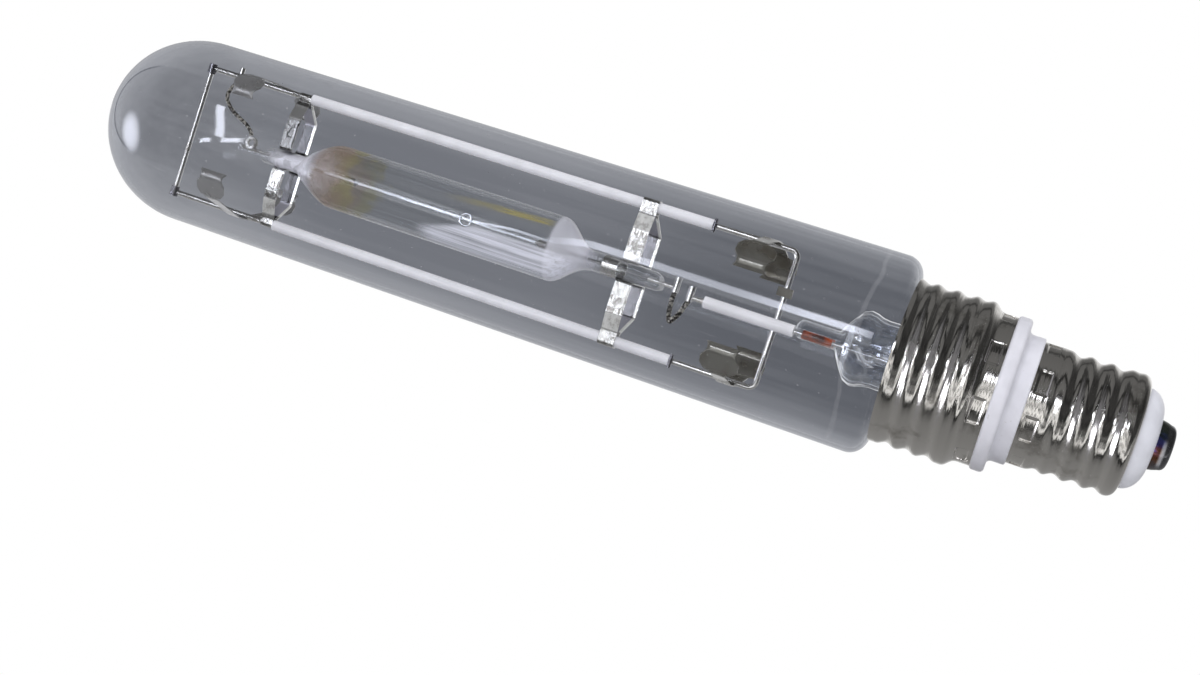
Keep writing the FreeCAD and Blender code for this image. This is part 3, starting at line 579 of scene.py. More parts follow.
@dataclass(frozen=True)
class StrapSheet(Finish):
    """Bright strip with painted shade behind the burner and painted highlights along the edges of its back,
    with weld dimples and burn marks on its front.
    """

    front: Colour = (0.66, 0.66, 0.65)
    burnt: Colour = (0.16, 0.14, 0.12)
    mottled: Colour = (0.30, 0.29, 0.275)
    shaded: Colour = (0.17, 0.17, 0.17)
    # Painted shade on the back of the straps, darkest at the dome, and painted light on its slopes; rim is a
    # painted highlight along its edges.
    back_shade: Colour = (0.24, 0.24, 0.26)
    dome_back_shade: Colour = (0.085, 0.085, 0.09)
    slope_back_light: Colour = (0.42, 0.42, 0.48)
    rim: Colour = (0.92, 0.92, 0.90)
    edges_x: tuple[float, ...] = (-176.1, -309.7)
    weld_z: tuple[float, ...] = (9.5, 13.5, -9.5, -13.5)
    weld_mark: float = 1.1
    weld_dimple: float = 1.8
    slope_z: Point = (15.0, 19.8)

    def welds(self, desk: NodeDesk, reach: float) -> Signal:
        """Round marks on the front of the straps, at the same heights on each strap."""
        x, y, z = desk.axes()
        spots = 0.0
        for height in self.weld_z:
            uneven = desk.noise(desk.place(), 0.9, 3.0, 0.7).fade(0.2, 0.8, -0.5, 0.5)
            away = desk.math("ABSOLUTE", z - height) + uneven
            spots = away.fade(reach, reach * 0.4) + spots
        across = desk.noise(desk.place((1.6, 0.2, 0.3)), 0.5, 1.0).fade(0.42, 0.58)
        return (spots * across * y.fade(0.0, -2.0)).clamp()

    def build(self, desk: NodeDesk) -> Signal:
        """See the class."""
        place = desk.place()
        x, y, z = desk.axes(place)
        dome_share = x.fade(-270.0, -290.0)
        rolled = desk.noise(desk.place((1.0, 1.0, 0.15)), 0.8, 3.0)
        tone = desk.blend(rolled.fade(0.35, 0.7), self.front, tuple(c * 0.8 for c in self.front))
        tone = desk.blend(self.welds(desk, self.weld_mark) * 0.6, tone, self.burnt)
        mottle = desk.noise(place, 0.42, 4.0, 0.65).fade(0.46, 0.62, 0.0, 0.75)
        tone = desk.blend(mottle, tone, self.mottled)
        # Painted shade on the upper front of the dome strap.
        tone = desk.blend(dome_share * z.band(0.0, 4.0, 19.0, 23.0), tone, self.shaded)
        # Painted highlights along the edges of the back of the straps.
        rim_highlights = 0.0
        for edge in self.edges_x:
            rim_highlights = x.band(edge - 0.9, edge - 0.6, edge + 1.0, edge + 3.0) + rim_highlights
        height = desk.math("ABSOLUTE", z)
        low, high = self.slope_z
        slope = height.band(low - 0.8, low, high, high + 0.8)
        back_shade = desk.blend(dome_share, self.back_shade, self.dome_back_shade)
        behind = desk.blend(slope, back_shade, self.slope_back_light)
        behind = desk.blend(rim_highlights.clamp(), behind, self.rim)
        colour = desk.blend(y.fade(-1.0, 1.5), tone, behind)
        pits = desk.noise(place, 0.7, 3.0, 0.6) + self.welds(desk, self.weld_dimple) * 0.8
        return desk.principled(Base_Color=colour, Metallic=1.0 - slope * 0.8,
                               Roughness=rolled.fade(0.2, 0.8, 0.14, 0.30), Normal=desk.bump(pits, 0.10, 0.6))


@dataclass(frozen=True)
class TwistedWire(Finish):
    """Braided lead: fine dark wires with painted highlights on their flanks."""

    dark: Colour = (0.035, 0.032, 0.03)
    flank_highlight: Colour = (0.66, 0.64, 0.60)

    def build(self, desk: NodeDesk) -> Signal:
        """See the class."""
        strands = desk.noise(desk.place(), 1.15, 1.0, 0.6)
        # Noise mixes the dark wire with a painted highlight.
        colour = desk.blend(strands.fade(0.49, 0.57), self.dark, self.flank_highlight)
        return desk.principled(Base_Color=colour, Metallic=0.5, Roughness=0.30,
                               Normal=desk.bump(strands, 0.12, 0.9))


@dataclass(frozen=True)
class BluedSolder(Finish):
    """Dark tinned contact, heat tinted from orange below through violet and blue to black above, with a
    painted highlight in a narrow upright band.
    """

    flank: tuple[tuple[float, Colour], ...] = (
        (0.0, (0.12, 0.11, 0.12)), (0.10, (0.24, 0.10, 0.04)), (0.22, (0.17, 0.07, 0.13)),
        (0.34, (0.11, 0.11, 0.40)), (0.62, (0.10, 0.12, 0.36)), (0.80, (0.06, 0.08, 0.08)),
        (1.0, (0.07, 0.08, 0.07)))
    face: Colour = (0.14, 0.14, 0.15)
    highlight_band: Colour = (0.72, 0.73, 0.77)

    def build(self, desk: NodeDesk) -> Signal:
        """See the class."""
        x, y, z = desk.axes()
        around = desk.noise(desk.place((0.4, 1.0, 1.0)), 0.30, 2.0).fade(0.2, 0.8, -3.0, 3.0)
        tint = desk.ramp((z + around).fade(-7.0, 7.0), self.flank)
        dull = desk.noise(desk.place(), 0.5, 3.0)
        # Painted highlight: a narrow upright band, lightened and less metallic.
        highlight_band = x.band(-3.6, -2.8, -2.4, -1.7) * z.band(-7.0, -5.0, 0.0, 3.0)
        tint = desk.blend(x.fade(-3.2, -2.0), tint, self.face)
        tint = desk.blend(highlight_band * 0.65, tint, self.highlight_band)
        return desk.principled(Base_Color=tint, Metallic=0.9 - highlight_band * 0.4,
                               Roughness=dull.fade(0.3, 0.7, 0.12, 0.32),
                               Normal=desk.bump(desk.noise(desk.place(), 0.4, 2.0), 0.25, 0.6))


@dataclass(frozen=True)
class SealingGlass(Finish):
    """Red-brown glass where the wires pass through the press."""

    red: Colour = (0.30, 0.040, 0.001)
    brown: Colour = (0.045, 0.006, 0.001)

    def build(self, desk: NodeDesk) -> Signal:
        """See the class."""
        cloud = desk.noise(desk.place((0.4, 1.0, 1.0)), 0.45, 3.0)
        colour = desk.blend(cloud.fade(0.40, 0.60), self.red, self.brown)
        return desk.principled(Base_Color=colour, Roughness=0.2, Coat_Weight=0.3)


class Finishes:
    """Every finish of the lamp."""

    envelope = EnvelopeGlass("envelope_glass", base_mirror=0.065, edge_mirror=0.30)
    envelope_inside = BlownGlass("envelope_inside", base_mirror=0.006, edge_mirror=0.08)
    stem = StemGlass("stem_glass", tint=(0.92, 0.93, 0.95), wave_mm=1.3, wave_scale=0.26, base_mirror=0.03,
                     edge_mirror=0.95)
    quartz = FrostedQuartz("frosted_quartz", tint=(0.95, 0.955, 0.95), wave_mm=0.05, base_mirror=0.055,
                           edge_mirror=0.5)
    hollow = BlownGlass("quartz_inside", wave_mm=0.05, base_mirror=0.004, edge_mirror=0.25)
    tip = BlownGlass("quartz_seal", tint=(0.66, 0.67, 0.69), wave_mm=0.3, wave_scale=0.6, base_mirror=0.45,
                     edge_mirror=0.55)
    ceramic = GlazedCeramic("ring_ceramic", colour=(0.76, 0.76, 0.83))
    sleeve = GlazedCeramic("sleeve_ceramic", colour=(0.78, 0.78, 0.83), speck=0.1)
    insulator = GlazedCeramic("insulator_glaze", colour=(0.79, 0.80, 0.87), speck=0.1)
    plated = PlatedSheet("nickel_plate")
    wire = BareMetal("frame_wire", colour=(0.82, 0.82, 0.82), tint=(0.45, 0.42, 0.38), roughness=0.12)
    lead = BareMetal("lead_wire", colour=(0.46, 0.46, 0.46), tint=(0.16, 0.15, 0.14), tint_share=0.8,
                     metallic=0.85)
    strap = StrapSheet("strap_sheet")
    band = BareMetal("band_steel", colour=(0.72, 0.72, 0.72), roughness=0.16, tint_share=0.35)
    base_spring = BareMetal("base_spring_strip", colour=(0.25, 0.245, 0.225), tint=(0.12, 0.105, 0.08),
                            roughness=0.15, tint_share=0.85, metallic=0.72, patch_scale=0.10)
    dome_spring = BareMetal("dome_spring_strip", colour=(0.42, 0.42, 0.43), tint=(0.25, 0.245, 0.23),
                            roughness=0.17, tint_share=0.6, metallic=0.72, patch_scale=0.09)
    collar = BareMetal("collar_steel", colour=(0.24, 0.24, 0.27), tint=(0.12, 0.11, 0.11), tint_share=0.7)
    braid = TwistedWire("braid_wire")
    contact = BluedSolder("blued_contact")
    tungsten = BareMetal("tungsten_rod", colour=(0.30, 0.30, 0.31), roughness=0.35)
    getter = BareMetal("getter_steel", colour=(0.13, 0.125, 0.11), tint=(0.08, 0.07, 0.05), roughness=0.35,
                       metallic=0.6)
    seal = SealingGlass("sealing_glass")


NODE_FINISHES: dict[str, Finish] = {
    "outer_bulb": Finishes.envelope,
    "glass_stem": Finishes.stem,
    "arc_tube": Finishes.quartz,
    "cap_ring": Finishes.ceramic,
    "frame_sleeve": Finishes.sleeve,
    "feed_sleeve": Finishes.sleeve,
    "cap_insulator": Finishes.insulator,
    "cap_skirt": Finishes.plated,
    "screw_shell": Finishes.plated,
    "burner_lead_dome": Finishes.lead,
    "strap": Finishes.strap,
    "burner_band": Finishes.band,
    "cross_collar": Finishes.collar,
    "sleeve_stop": Finishes.collar,
    "spring_base": Finishes.base_spring,
    "spring_dome": Finishes.dome_spring,
    "braid": Finishes.braid,
    "centre_contact": Finishes.contact,
    "electrode": Finishes.tungsten,
    "foil": Finishes.tungsten,
    "getter": Finishes.getter,
    "stem_seal": Finishes.seal,
}


class Bench:
    """Modelling by hand: each method works on the one piece that is open in edit mode."""

    def __init__(self, name: str, existing: bool = False) -> None:
        """Clears the bench for a piece.

        Args:
            name: the piece's name.
            existing: whether the piece has just been added by its own primitive.
        """
        self.name = name
        if existing:
            self._named()
        else:
            bpy.ops.object.select_all(action="DESELECT")

    def point(self, place: Vector) -> None:
        """Starts the piece from one vertex."""
        bpy.ops.mesh.primitive_plane_add(size=0.001, location=place)
        bpy.ops.object.mode_set(mode="EDIT")
        bpy.ops.mesh.select_mode(type="VERT")
        bpy.ops.mesh.select_all(action="SELECT")
        bpy.ops.mesh.merge(type="CENTER")
        self._named()

    def ring(self, place: Vector, radius: float, sides: int) -> None:
        """Starts the piece from an open ring that faces along X."""
        turn = Vector((1, 0, 0)).to_track_quat("Z", "Y").to_euler()
        bpy.ops.mesh.primitive_circle_add(vertices=sides, radius=radius, location=place, rotation=turn)
        bpy.ops.object.mode_set(mode="EDIT")
        bpy.ops.mesh.select_all(action="SELECT")
        self._named()

    def _named(self) -> None:
        """Names the object that has just been added."""
        bpy.context.object.name = self.name

    def draw(self, moves: Iterable[Vector]) -> None:
        """Extrudes what is selected by each move in turn."""
        for move in moves:
            bpy.ops.mesh.extrude_region_move(TRANSFORM_OT_translate={"value": move})

    def widen(self, factors: tuple[float, float, float], centre: Vector) -> None:
        """Scales what is selected about a centre."""
        bpy.ops.transform.resize(value=factors, center_override=centre)

    def twist(self, degrees: float, centre: Vector) -> None:
        """Turns what is selected about X."""
        if degrees:
            bpy.ops.transform.rotate(value=math.radians(degrees), orient_axis="X", center_override=centre)

    def spin(self, steps: int) -> None:
        """Spins all of the piece once round the X axis."""
        bpy.ops.mesh.select_all(action="SELECT")
        bpy.ops.mesh.spin(steps=steps, angle=2 * math.pi, center=(0, 0, 0), axis=(1, 0, 0))

    def close(self) -> None:
        """Fills the open ends of what is selected."""
        bpy.ops.mesh.select_all(action="DESELECT")
        bpy.ops.mesh.select_mode(type="EDGE")
        bpy.ops.mesh.select_non_manifold(extend=False)
        bpy.ops.mesh.edge_face_add()

    def finish(self) -> bpy.types.Object:
        """Merges doubles, turns the faces out and leaves edit mode.

        Returns:
            The finished object, with its place in its mesh.
        """
        bpy.ops.mesh.select_all(action="SELECT")
        bpy.ops.mesh.remove_doubles(threshold=MERGE_REACH)
        bpy.ops.mesh.normals_make_consistent(inside=False)
        bpy.ops.object.mode_set(mode="OBJECT")
        obj = bpy.context.object
        bpy.ops.object.transform_apply(location=True, rotation=True, scale=True)
        bpy.ops.object.shade_smooth_by_angle(angle=SMOOTH_ANGLE)
        obj.select_set(False)
        return obj


def on_axis(x: float) -> Vector:
    """The place on the lamp's axis at x in millimetres."""
    return Vector((x, 0, 0)) * MM


def pick(obj: bpy.types.Object) -> None:
    """Selects one object alone and makes it the active one."""
    bpy.ops.object.select_all(action="DESELECT")
    obj.select_set(True)
    bpy.context.view_layer.objects.active = obj


def apply_modifier(obj: bpy.types.Object, kind: str, **settings: object) -> None:
    """Adds one modifier to an object and applies it.

    Args:
        obj: the object.
        kind: the modifier's type.
        settings: its properties.
    """
    pick(obj)
    made = obj.modifiers.new(kind.lower(), kind)
    for name, value in settings.items():
        setattr(made, name, value)
    bpy.ops.object.modifier_apply(modifier=made.name)
    obj.select_set(False)


def turned(name: str, profile: Sequence[Point], steps: int) -> bpy.types.Object:
    """A closed body of revolution about X.

    Args:
        name: its name.
        profile: points (x, radius) in millimetres, in order along the section.
        steps: how many steps the turn takes.

    Returns:
        The object.
    """
    places = [Vector((x, 0.0, radius)) * MM for x, radius in profile]
    bench = Bench(name)
    bench.point(places[0])
    bench.draw(after - before for before, after in zip(places, places[1:]))
    bench.spin(steps)
    return bench.finish()


def arc(centre: Point, radius: float, start: float, end: float, steps: int) -> list[Point]:
    """Points on an arc, angles in degrees from +X towards +Z."""
    turns = [math.radians(start + (end - start) * i / steps) for i in range(steps + 1)]
    return [(centre[0] + radius * math.cos(t), centre[1] + radius * math.sin(t)) for t in turns]


def drawn_glass(name: str, stations: Sequence[Station]) -> bpy.types.Object:
    """A closed form drawn along X from one ring that is resized and turned at each station.

    Args:
        name: its name.
        stations: its sections, from one end to the other.

    Returns:
        The object.
    """
    x, wide, high, turn = stations[0]
    bench = Bench(name)
    bench.ring(on_axis(x), MM, GLASS_SIDES)
    bench.widen((1.0, wide, high), on_axis(x))
    bench.twist(turn, on_axis(x))
    for before, after in zip(stations, stations[1:]):
        centre = on_axis(after[0])
        bench.draw([on_axis(after[0] - before[0])])
        bench.twist(-before[3], centre)
        bench.widen((1.0, after[1] / before[1], after[2] / before[2]), centre)
        bench.twist(after[3], centre)
    bench.close()
    return bench.finish()


def turned_out(obj: bpy.types.Object) -> bpy.types.Object:
    """Turns the faces of a hollow towards the hollow."""
    pick(obj)
    bpy.ops.object.mode_set(mode="EDIT")
    bpy.ops.mesh.select_all(action="SELECT")
    bpy.ops.mesh.flip_normals()
    bpy.ops.object.mode_set(mode="OBJECT")
    obj.select_set(False)
    return obj


def joined(first: bpy.types.Object, others: Iterable[bpy.types.Object]) -> bpy.types.Object:
    """Joins objects into the first one."""
    pick(first)
    for obj in others:
        obj.select_set(True)
    bpy.ops.object.join()
    first.select_set(False)
    return first


class End(Enum):
    """An end of the burner, with its direction along X."""

    DOME = -1
    BASE = 1


@dataclass
class QuartzBurner:
    """The burner: a round quartz body with a hollow, whose ends are drawn in to flat pinches."""

    radius: float = 11.3
    wall: float = 1.1
    taper: float = 13.5
    taper_steps: int = 12
    pinch_wide: float = 6.5
    pinch_high: float = 3.0
    pinch_turn: float = 16.0
    pinch_steps: int = 14
    hollow_depth: float = 4.0
    tip_x: float = -236.0
    tip_radius: float = 2.1
    tip_thick: float = 0.42

    def shoulder(self, start: float, end: End, roundness: float) -> list[Station]:
        """Stations from the round body to the neck of a pinch.

        Args:
            start: x of the body's end.
            end: which end of the burner.
            roundness: 1 for a round shoulder and 0 for a straight cone.

        Returns:
            The stations, outwards from the body.
        """
        hand = end.value
        stations = []
        for step in range(self.taper_steps + 1):
            share = step / self.taper_steps
            cone = 0.5 + 0.5 * math.cos(math.pi * share)
            ball = math.sqrt(1 - share * share)
            wide = roundness * ball + (1 - roundness) * cone
            wave = 0.25 * math.sin(7.0 * share) * share
            stations.append((start + hand * self.taper * share,
                             self.pinch_wide + (self.radius - self.pinch_wide) * wide,
                             self.pinch_high + (self.radius - self.pinch_high) * wide ** 1.4 - wave * 0.5,
                             hand * self.pinch_turn * share ** 2))
        return stations

    def pinch(self, start: float, end: float, turn: float) -> list[Station]:
        """Stations of a flat pinch with a slightly uneven outline."""
        rows = []
        for step in range(1, self.pinch_steps + 1):
            share = step / self.pinch_steps
            uneven = 0.95 - 0.05 * math.sin(13.0 * share + start)
            rows.append((start + (end - start) * share, self.pinch_wide * uneven,
                         self.pinch_high * (1.0 - 0.10 * share * uneven), turn))
        x, wide, high, turn = rows[-1]
        rows[-1] = (x, wide * 0.86, high * 0.7, turn)
        return rows

    def body(self) -> bpy.types.Object:
        """The outside of the quartz."""
        dome = self.shoulder(BODY_DOME_X, End.DOME, 0.75)
        base = self.shoulder(BODY_BASE_X, End.BASE, 0.15)
        dome += self.pinch(dome[-1][0], PINCH_DOME_X, dome[-1][3])
        base += self.pinch(base[-1][0], PINCH_BASE_X, base[-1][3])
        return drawn_glass("quartz_burner", dome[::-1] + base)

    def cup(self, start: float, end: End) -> list[Station]:
        """Stations of a rounded end of the hollow, from its middle out to the bore."""
        stations = []
        for degrees in (3, 12, 25, 40, 55, 70, 90):
            angle = math.radians(degrees)
            half = (self.radius - self.wall) * math.sin(angle)
            along = end.value * self.hollow_depth * math.cos(angle)
            stations.append((start + along, half, half, 0.0))
        return stations

    def hollow(self) -> bpy.types.Object:
        """The discharge space."""
        rows = self.cup(BODY_DOME_X, End.DOME) + self.cup(BODY_BASE_X, End.BASE)[::-1]
        return turned_out(drawn_glass("quartz_hollow", rows))

    def tip(self) -> bpy.types.Object:
        """The sealed-off end of the filling tube, a small ring on the front."""
        front = Vector((self.tip_x, -self.radius - 0.05, -0.2)) * MM
        bpy.ops.object.select_all(action="DESELECT")
        turn = (math.radians(90), 0.0, 0.0)
        bpy.ops.mesh.primitive_torus_add(location=front, rotation=turn, major_segments=32, minor_segments=8,
                                         major_radius=self.tip_radius * MM,
                                         minor_radius=self.tip_thick * MM)
        bench = Bench("quartz_tip", existing=True)
        bpy.ops.object.mode_set(mode="EDIT")
        bpy.ops.mesh.select_all(action="SELECT")
        bench.widen((1.0, 0.5, 1.0), front)
        return bench.finish()

    def build(self) -> None:
        """Builds the burner in place of its plain form."""
        pieces = (
            (self.body(), Finishes.quartz), (self.hollow(), Finishes.hollow), (self.tip(), Finishes.tip))
        for piece, finish in pieces:
            dress(piece, finish)
        burner = joined(pieces[0][0], [piece for piece, finish in pieces[1:]])
        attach(burner, "root")
        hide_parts("arc_tube")
        log.info("quartz_burner: %.1f mm long", PINCH_BASE_X - PINCH_DOME_X)


@dataclass
class GlassStem:
    """The glass stem: a flared tube with a blown crown, pressed flat round the two leads."""

    tip: float = -119.2
    root: float = -104.7
    rim: float = -63.9
    press_wide: float = 8.5
    press_high: float = 3.25
    press_steps: int = 16
    flare_start: float = 20.0
    flare_steps: int = 8
    tube_radius: float = 11.2
    crown_radius: float = 12.6
    rim_radius: float = 23.8
    wall: float = 1.1

    def press(self) -> list[Station]:
        """Stations of the pressed end, wrinkled by the jaws."""
        rows = [(self.tip, self.press_wide * 0.78, self.press_high * 0.6, 0.0)]
        for step in range(1, self.press_steps):
            share = step / self.press_steps
            ripple = 1.0 - 0.05 * math.sin(21.0 * share) ** 2
            wide = self.press_wide * (1.0 - 0.05 * (1 - ripple))
            rows.append((self.tip + (self.root - self.tip) * share, wide, self.press_high * ripple, 0.0))
        return rows

    def tube(self, inset: float) -> list[Station]:
        """Stations of the shoulder, the crown, the tube and the flare, less an inset."""
        crown, radius = self.crown_radius, self.tube_radius
        line = [(self.root, 9.6, 5.2), (self.root + 2.2, 11.2, 8.8), (self.root + 4.2, 12.2, 11.6),
                (self.root + 6.4, crown, crown), (self.root + 8.6, 12.3, 12.3),
                (self.root + 10.6, radius + 0.3, radius + 0.3), (self.root + 13.0, radius, radius),
                (self.root + self.flare_start, radius + 0.2, radius + 0.2)]
        flare = self.rim - self.root - self.flare_start
        for step in range(1, self.flare_steps + 1):
            share = step / self.flare_steps
            wide = radius + 0.2 + (self.rim_radius - radius - 0.2) * share ** 2.2
            line.append((self.root + self.flare_start + flare * share, wide, wide))
        return [(x, wide - inset, high - inset, 0.0) for x, wide, high in line]

    def build(self) -> None:
        """Builds the stem in place of its plain form."""
        inside = self.tube(self.wall)[1:]
        stem = drawn_glass("blown_stem", self.press() + self.tube(0.0) + inside[::-1])
        dress(stem, Finishes.stem)
        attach(stem, "root")
        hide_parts("glass_stem")
        log.info("blown_stem: %.1f mm long", self.rim - self.tip)


@dataclass
class CapRing:
    """The moulded ceramic ring between the skirt and the screw shell, its edges rounded by the glaze."""

    skirt_end: float = -54.7
    shelf: float = -50.1
    shell_start: float = -44.7
    flange_radius: float = 25.2
    step_radius: float = 20.7
    spigot: float = 6.0
    skirt_spigot_radius: float = 23.75
    shell_spigot_radius: float = 19.1
    bore: float = 9.0
    edge: float = 1.1
    fillet: float = 1.4
    shell_edge: float = 0.6

    def build(self) -> None:
        """Builds the ring in place of its plain form."""
        edge, flange, step = self.edge, self.flange_radius, self.step_radius
        broad, fillet, small = edge * 1.3, self.fillet, self.shell_edge
        line = [(self.skirt_end - self.spigot, self.bore),
                (self.skirt_end - self.spigot, self.skirt_spigot_radius),
                (self.skirt_end, self.skirt_spigot_radius)]
        line += arc((self.skirt_end + edge, flange - edge), edge, 180, 90, 6)
        line += arc((self.shelf - broad, flange - broad), broad, 90, 0, 8)
        line += arc((self.shelf + fillet, step + fillet), fillet, 180, 270, 6)
        line += arc((self.shell_start - small, step - small), small, 90, 0, 5)
        line += [(self.shell_start, self.shell_spigot_radius),
                 (self.shell_start + self.spigot, self.shell_spigot_radius),
                 (self.shell_start + self.spigot, self.bore), (self.skirt_end - self.spigot, self.bore)]
        ring = turned("glazed_ring", line, 112)
        dress(ring, Finishes.ceramic)
        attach(ring, "root")
        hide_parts("cap_ring")
        log.info("glazed_ring: edges of %.1f mm", edge)


@dataclass
class CapNose:
    """The glazed insulator at the end of the screw shell, and the contact that it carries."""

    seat_x: float = -11.3
    nose_x: float = -5.9
    insulator_radius: float = 16.1
    contact_radius: float = 8.15
    contact_gap: float = 0.1
    contact_wall: float = 4.0
    contact_round: float = 1.9

    def insulator(self) -> bpy.types.Object:
        """A short bulging ring of glazed ceramic."""
        contact = self.contact_radius
        height = self.insulator_radius - contact - self.contact_gap
        depth = self.nose_x - self.seat_x + 0.7
        line = [(self.seat_x + (x - self.seat_x) * depth, contact + self.contact_gap + radius * height)
                for x, radius in arc((self.seat_x, 0.0), 1.0, 90, 8, 9)]
        line += [(self.nose_x + 0.5, contact + 0.35), (self.nose_x, contact + 0.02),
                 (self.nose_x - 0.2, contact - 1.0), (self.seat_x - 0.5, contact - 1.0),
                 (self.seat_x - 0.5, self.insulator_radius - 1.1), (self.seat_x, self.insulator_radius)]
        return turned("insulator_bulge", line, 96)

    def contact(self) -> bpy.types.Object:
        """A low barrel with a rounded rim and a slightly sunk face."""
        wide = self.contact_radius
        line = [(self.nose_x, 0.0), (self.nose_x, wide), (self.nose_x + 0.7, wide - 0.1),
                (self.nose_x + 2.4, wide - 0.45), (self.nose_x + self.contact_wall, wide - 1.0)]
        for degrees in (20, 40, 60, 80, 90):
            angle = math.radians(degrees)
            line.append((self.nose_x + self.contact_wall + self.contact_round * math.sin(angle),
                         wide - 1.0 - 2.2 * (1 - math.cos(angle))))
        line += [(-0.25, wide - 4.4), (-0.35, 0.0)]
        return turned("contact_barrel", line, 72)

    def build(self) -> None:
        """Builds both in place of their plain forms."""
        for piece, node, slot, finish in (
                (self.insulator(), "cap_insulator", "insulator", Finishes.insulator),
                (self.contact(), "centre_contact", "dark_contact", Finishes.contact)):
            dress(piece, finish)
            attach(piece, "root")
            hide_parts(node)
            log.info("%s replaces %s", piece.name, node)


@dataclass
class BraidedLead:
    """A limp lead of three twisted strands between two fastenings inside the bulb."""

    node: str
    route: tuple[tuple[float, float, float], ...]
    radius: float
    turns: float
    strands: int = 3
    strand_share: float = 0.46
    sides: int = 8
    steps: int = 108

    def rope(self) -> bpy.types.Object:
        """A straight rope along X, as long as its route."""
        bench = Bench("twisted_" + self.node)
        strand = self.radius * self.strand_share
        away = self.radius - strand
        for index in range(self.strands):
            angle = 2 * math.pi * index / self.strands
            place = Vector((0.0, away * math.cos(angle), away * math.sin(angle))) * MM
            if index:
                bpy.ops.mesh.primitive_circle_add(vertices=self.sides, radius=strand * MM, location=place,
                                                  rotation=(0.0, math.pi / 2, 0.0))
            else:
                bench.ring(place, strand * MM, self.sides)
        bpy.ops.mesh.select_all(action="SELECT")
        length = self.length() / self.steps
        for step in range(self.steps):
            bench.draw([on_axis(length)])
            bench.twist(360.0 * self.turns / self.steps, on_axis((step + 1) * length))
        bench.close()
        return bench.finish()

    def length(self) -> float:
        """Length of the route's straight runs in millimetres."""
        places = [Vector(p) for p in self.route]
        return sum((b - a).length for a, b in zip(places, places[1:]))

    def guide(self) -> bpy.types.Object:
        """The smooth line that the rope follows."""
        data = bpy.data.curves.new("guide_" + self.node, "CURVE")
        data.dimensions = "3D"
        data.resolution_u = 16
        data.use_stretch = True
        data.use_deform_bounds = True
        spline = data.splines.new("NURBS")
        spline.points.add(len(self.route) - 1)
        for point, place in zip(spline.points, self.route):
            point.co = (*(Vector(place) * MM), 1.0)
        spline.order_u = 3
        spline.use_endpoint_u = True
        guide = bpy.data.objects.new("guide_" + self.node, data)
        bpy.context.scene.collection.objects.link(guide)
        return guide

    def build(self) -> None:
        """Twists the rope, bends it along its route and puts it in place of the plain lead."""
        rope = self.rope()
        guide = self.guide()
        apply_modifier(rope, "CURVE", object=guide, deform_axis="POS_X")
        bpy.data.objects.remove(guide)
        dress(rope, Finishes.braid)
        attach(rope, "root")
        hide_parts(self.node)
        log.info("twisted_%s: %d strands", self.node, self.strands)


def lead_routes() -> tuple[BraidedLead, BraidedLead]:
    """The two braided leads, between what they join.

    Returns:
        The lead at the base and the lead at the dome.
    """
    burner_low, burner_high = (Vector(corner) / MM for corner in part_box("burner_ferrule"))
    feed_low, feed_high = (Vector(corner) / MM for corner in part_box("feed_ferrule"))
    loop_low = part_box("braid_base")[0][2] / MM
    start = ((burner_low.x + burner_high.x) / 2, (burner_low.y + burner_high.y) / 2, burner_low.z + 0.4)
    end = ((feed_low.x + feed_high.x) / 2, (feed_low.y + feed_high.y) / 2, feed_low.z + 0.4)
    bottom = loop_low + 0.9
    base = BraidedLead("braid_base", (
        start, (start[0] - 0.2, start[1], start[2] - 2.5), (start[0] + 0.2, start[1], bottom + 2.6),
        (start[0] + 0.9, start[1] + 0.4, bottom - 0.1), (start[0] + 2.4, end[1], bottom - 0.1),
        (start[0] + 4.2, end[1], bottom + 2.4), (end[0] - 0.8, end[1], end[2] - 2.6), end),
        radius=0.95, turns=9.0)
    low, high = (Vector(corner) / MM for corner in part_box("braid_dome"))
    middle = (low.y + high.y) / 2
    dome = BraidedLead("braid_dome", (
        (low.x + 4.4, middle, high.z - 0.3), (low.x + 2.6, middle, high.z - 2.4),
        (low.x + 1.0, middle, high.z - 5.6), (low.x + 1.2, middle, high.z - 8.4),
        (low.x + 5.2, middle, high.z - 12.2), (high.x - 2.2, middle, low.z + 3.2),
        (high.x - 1.0, middle, low.z + 0.6)), radius=0.8, turns=10.0)
    return base, dome


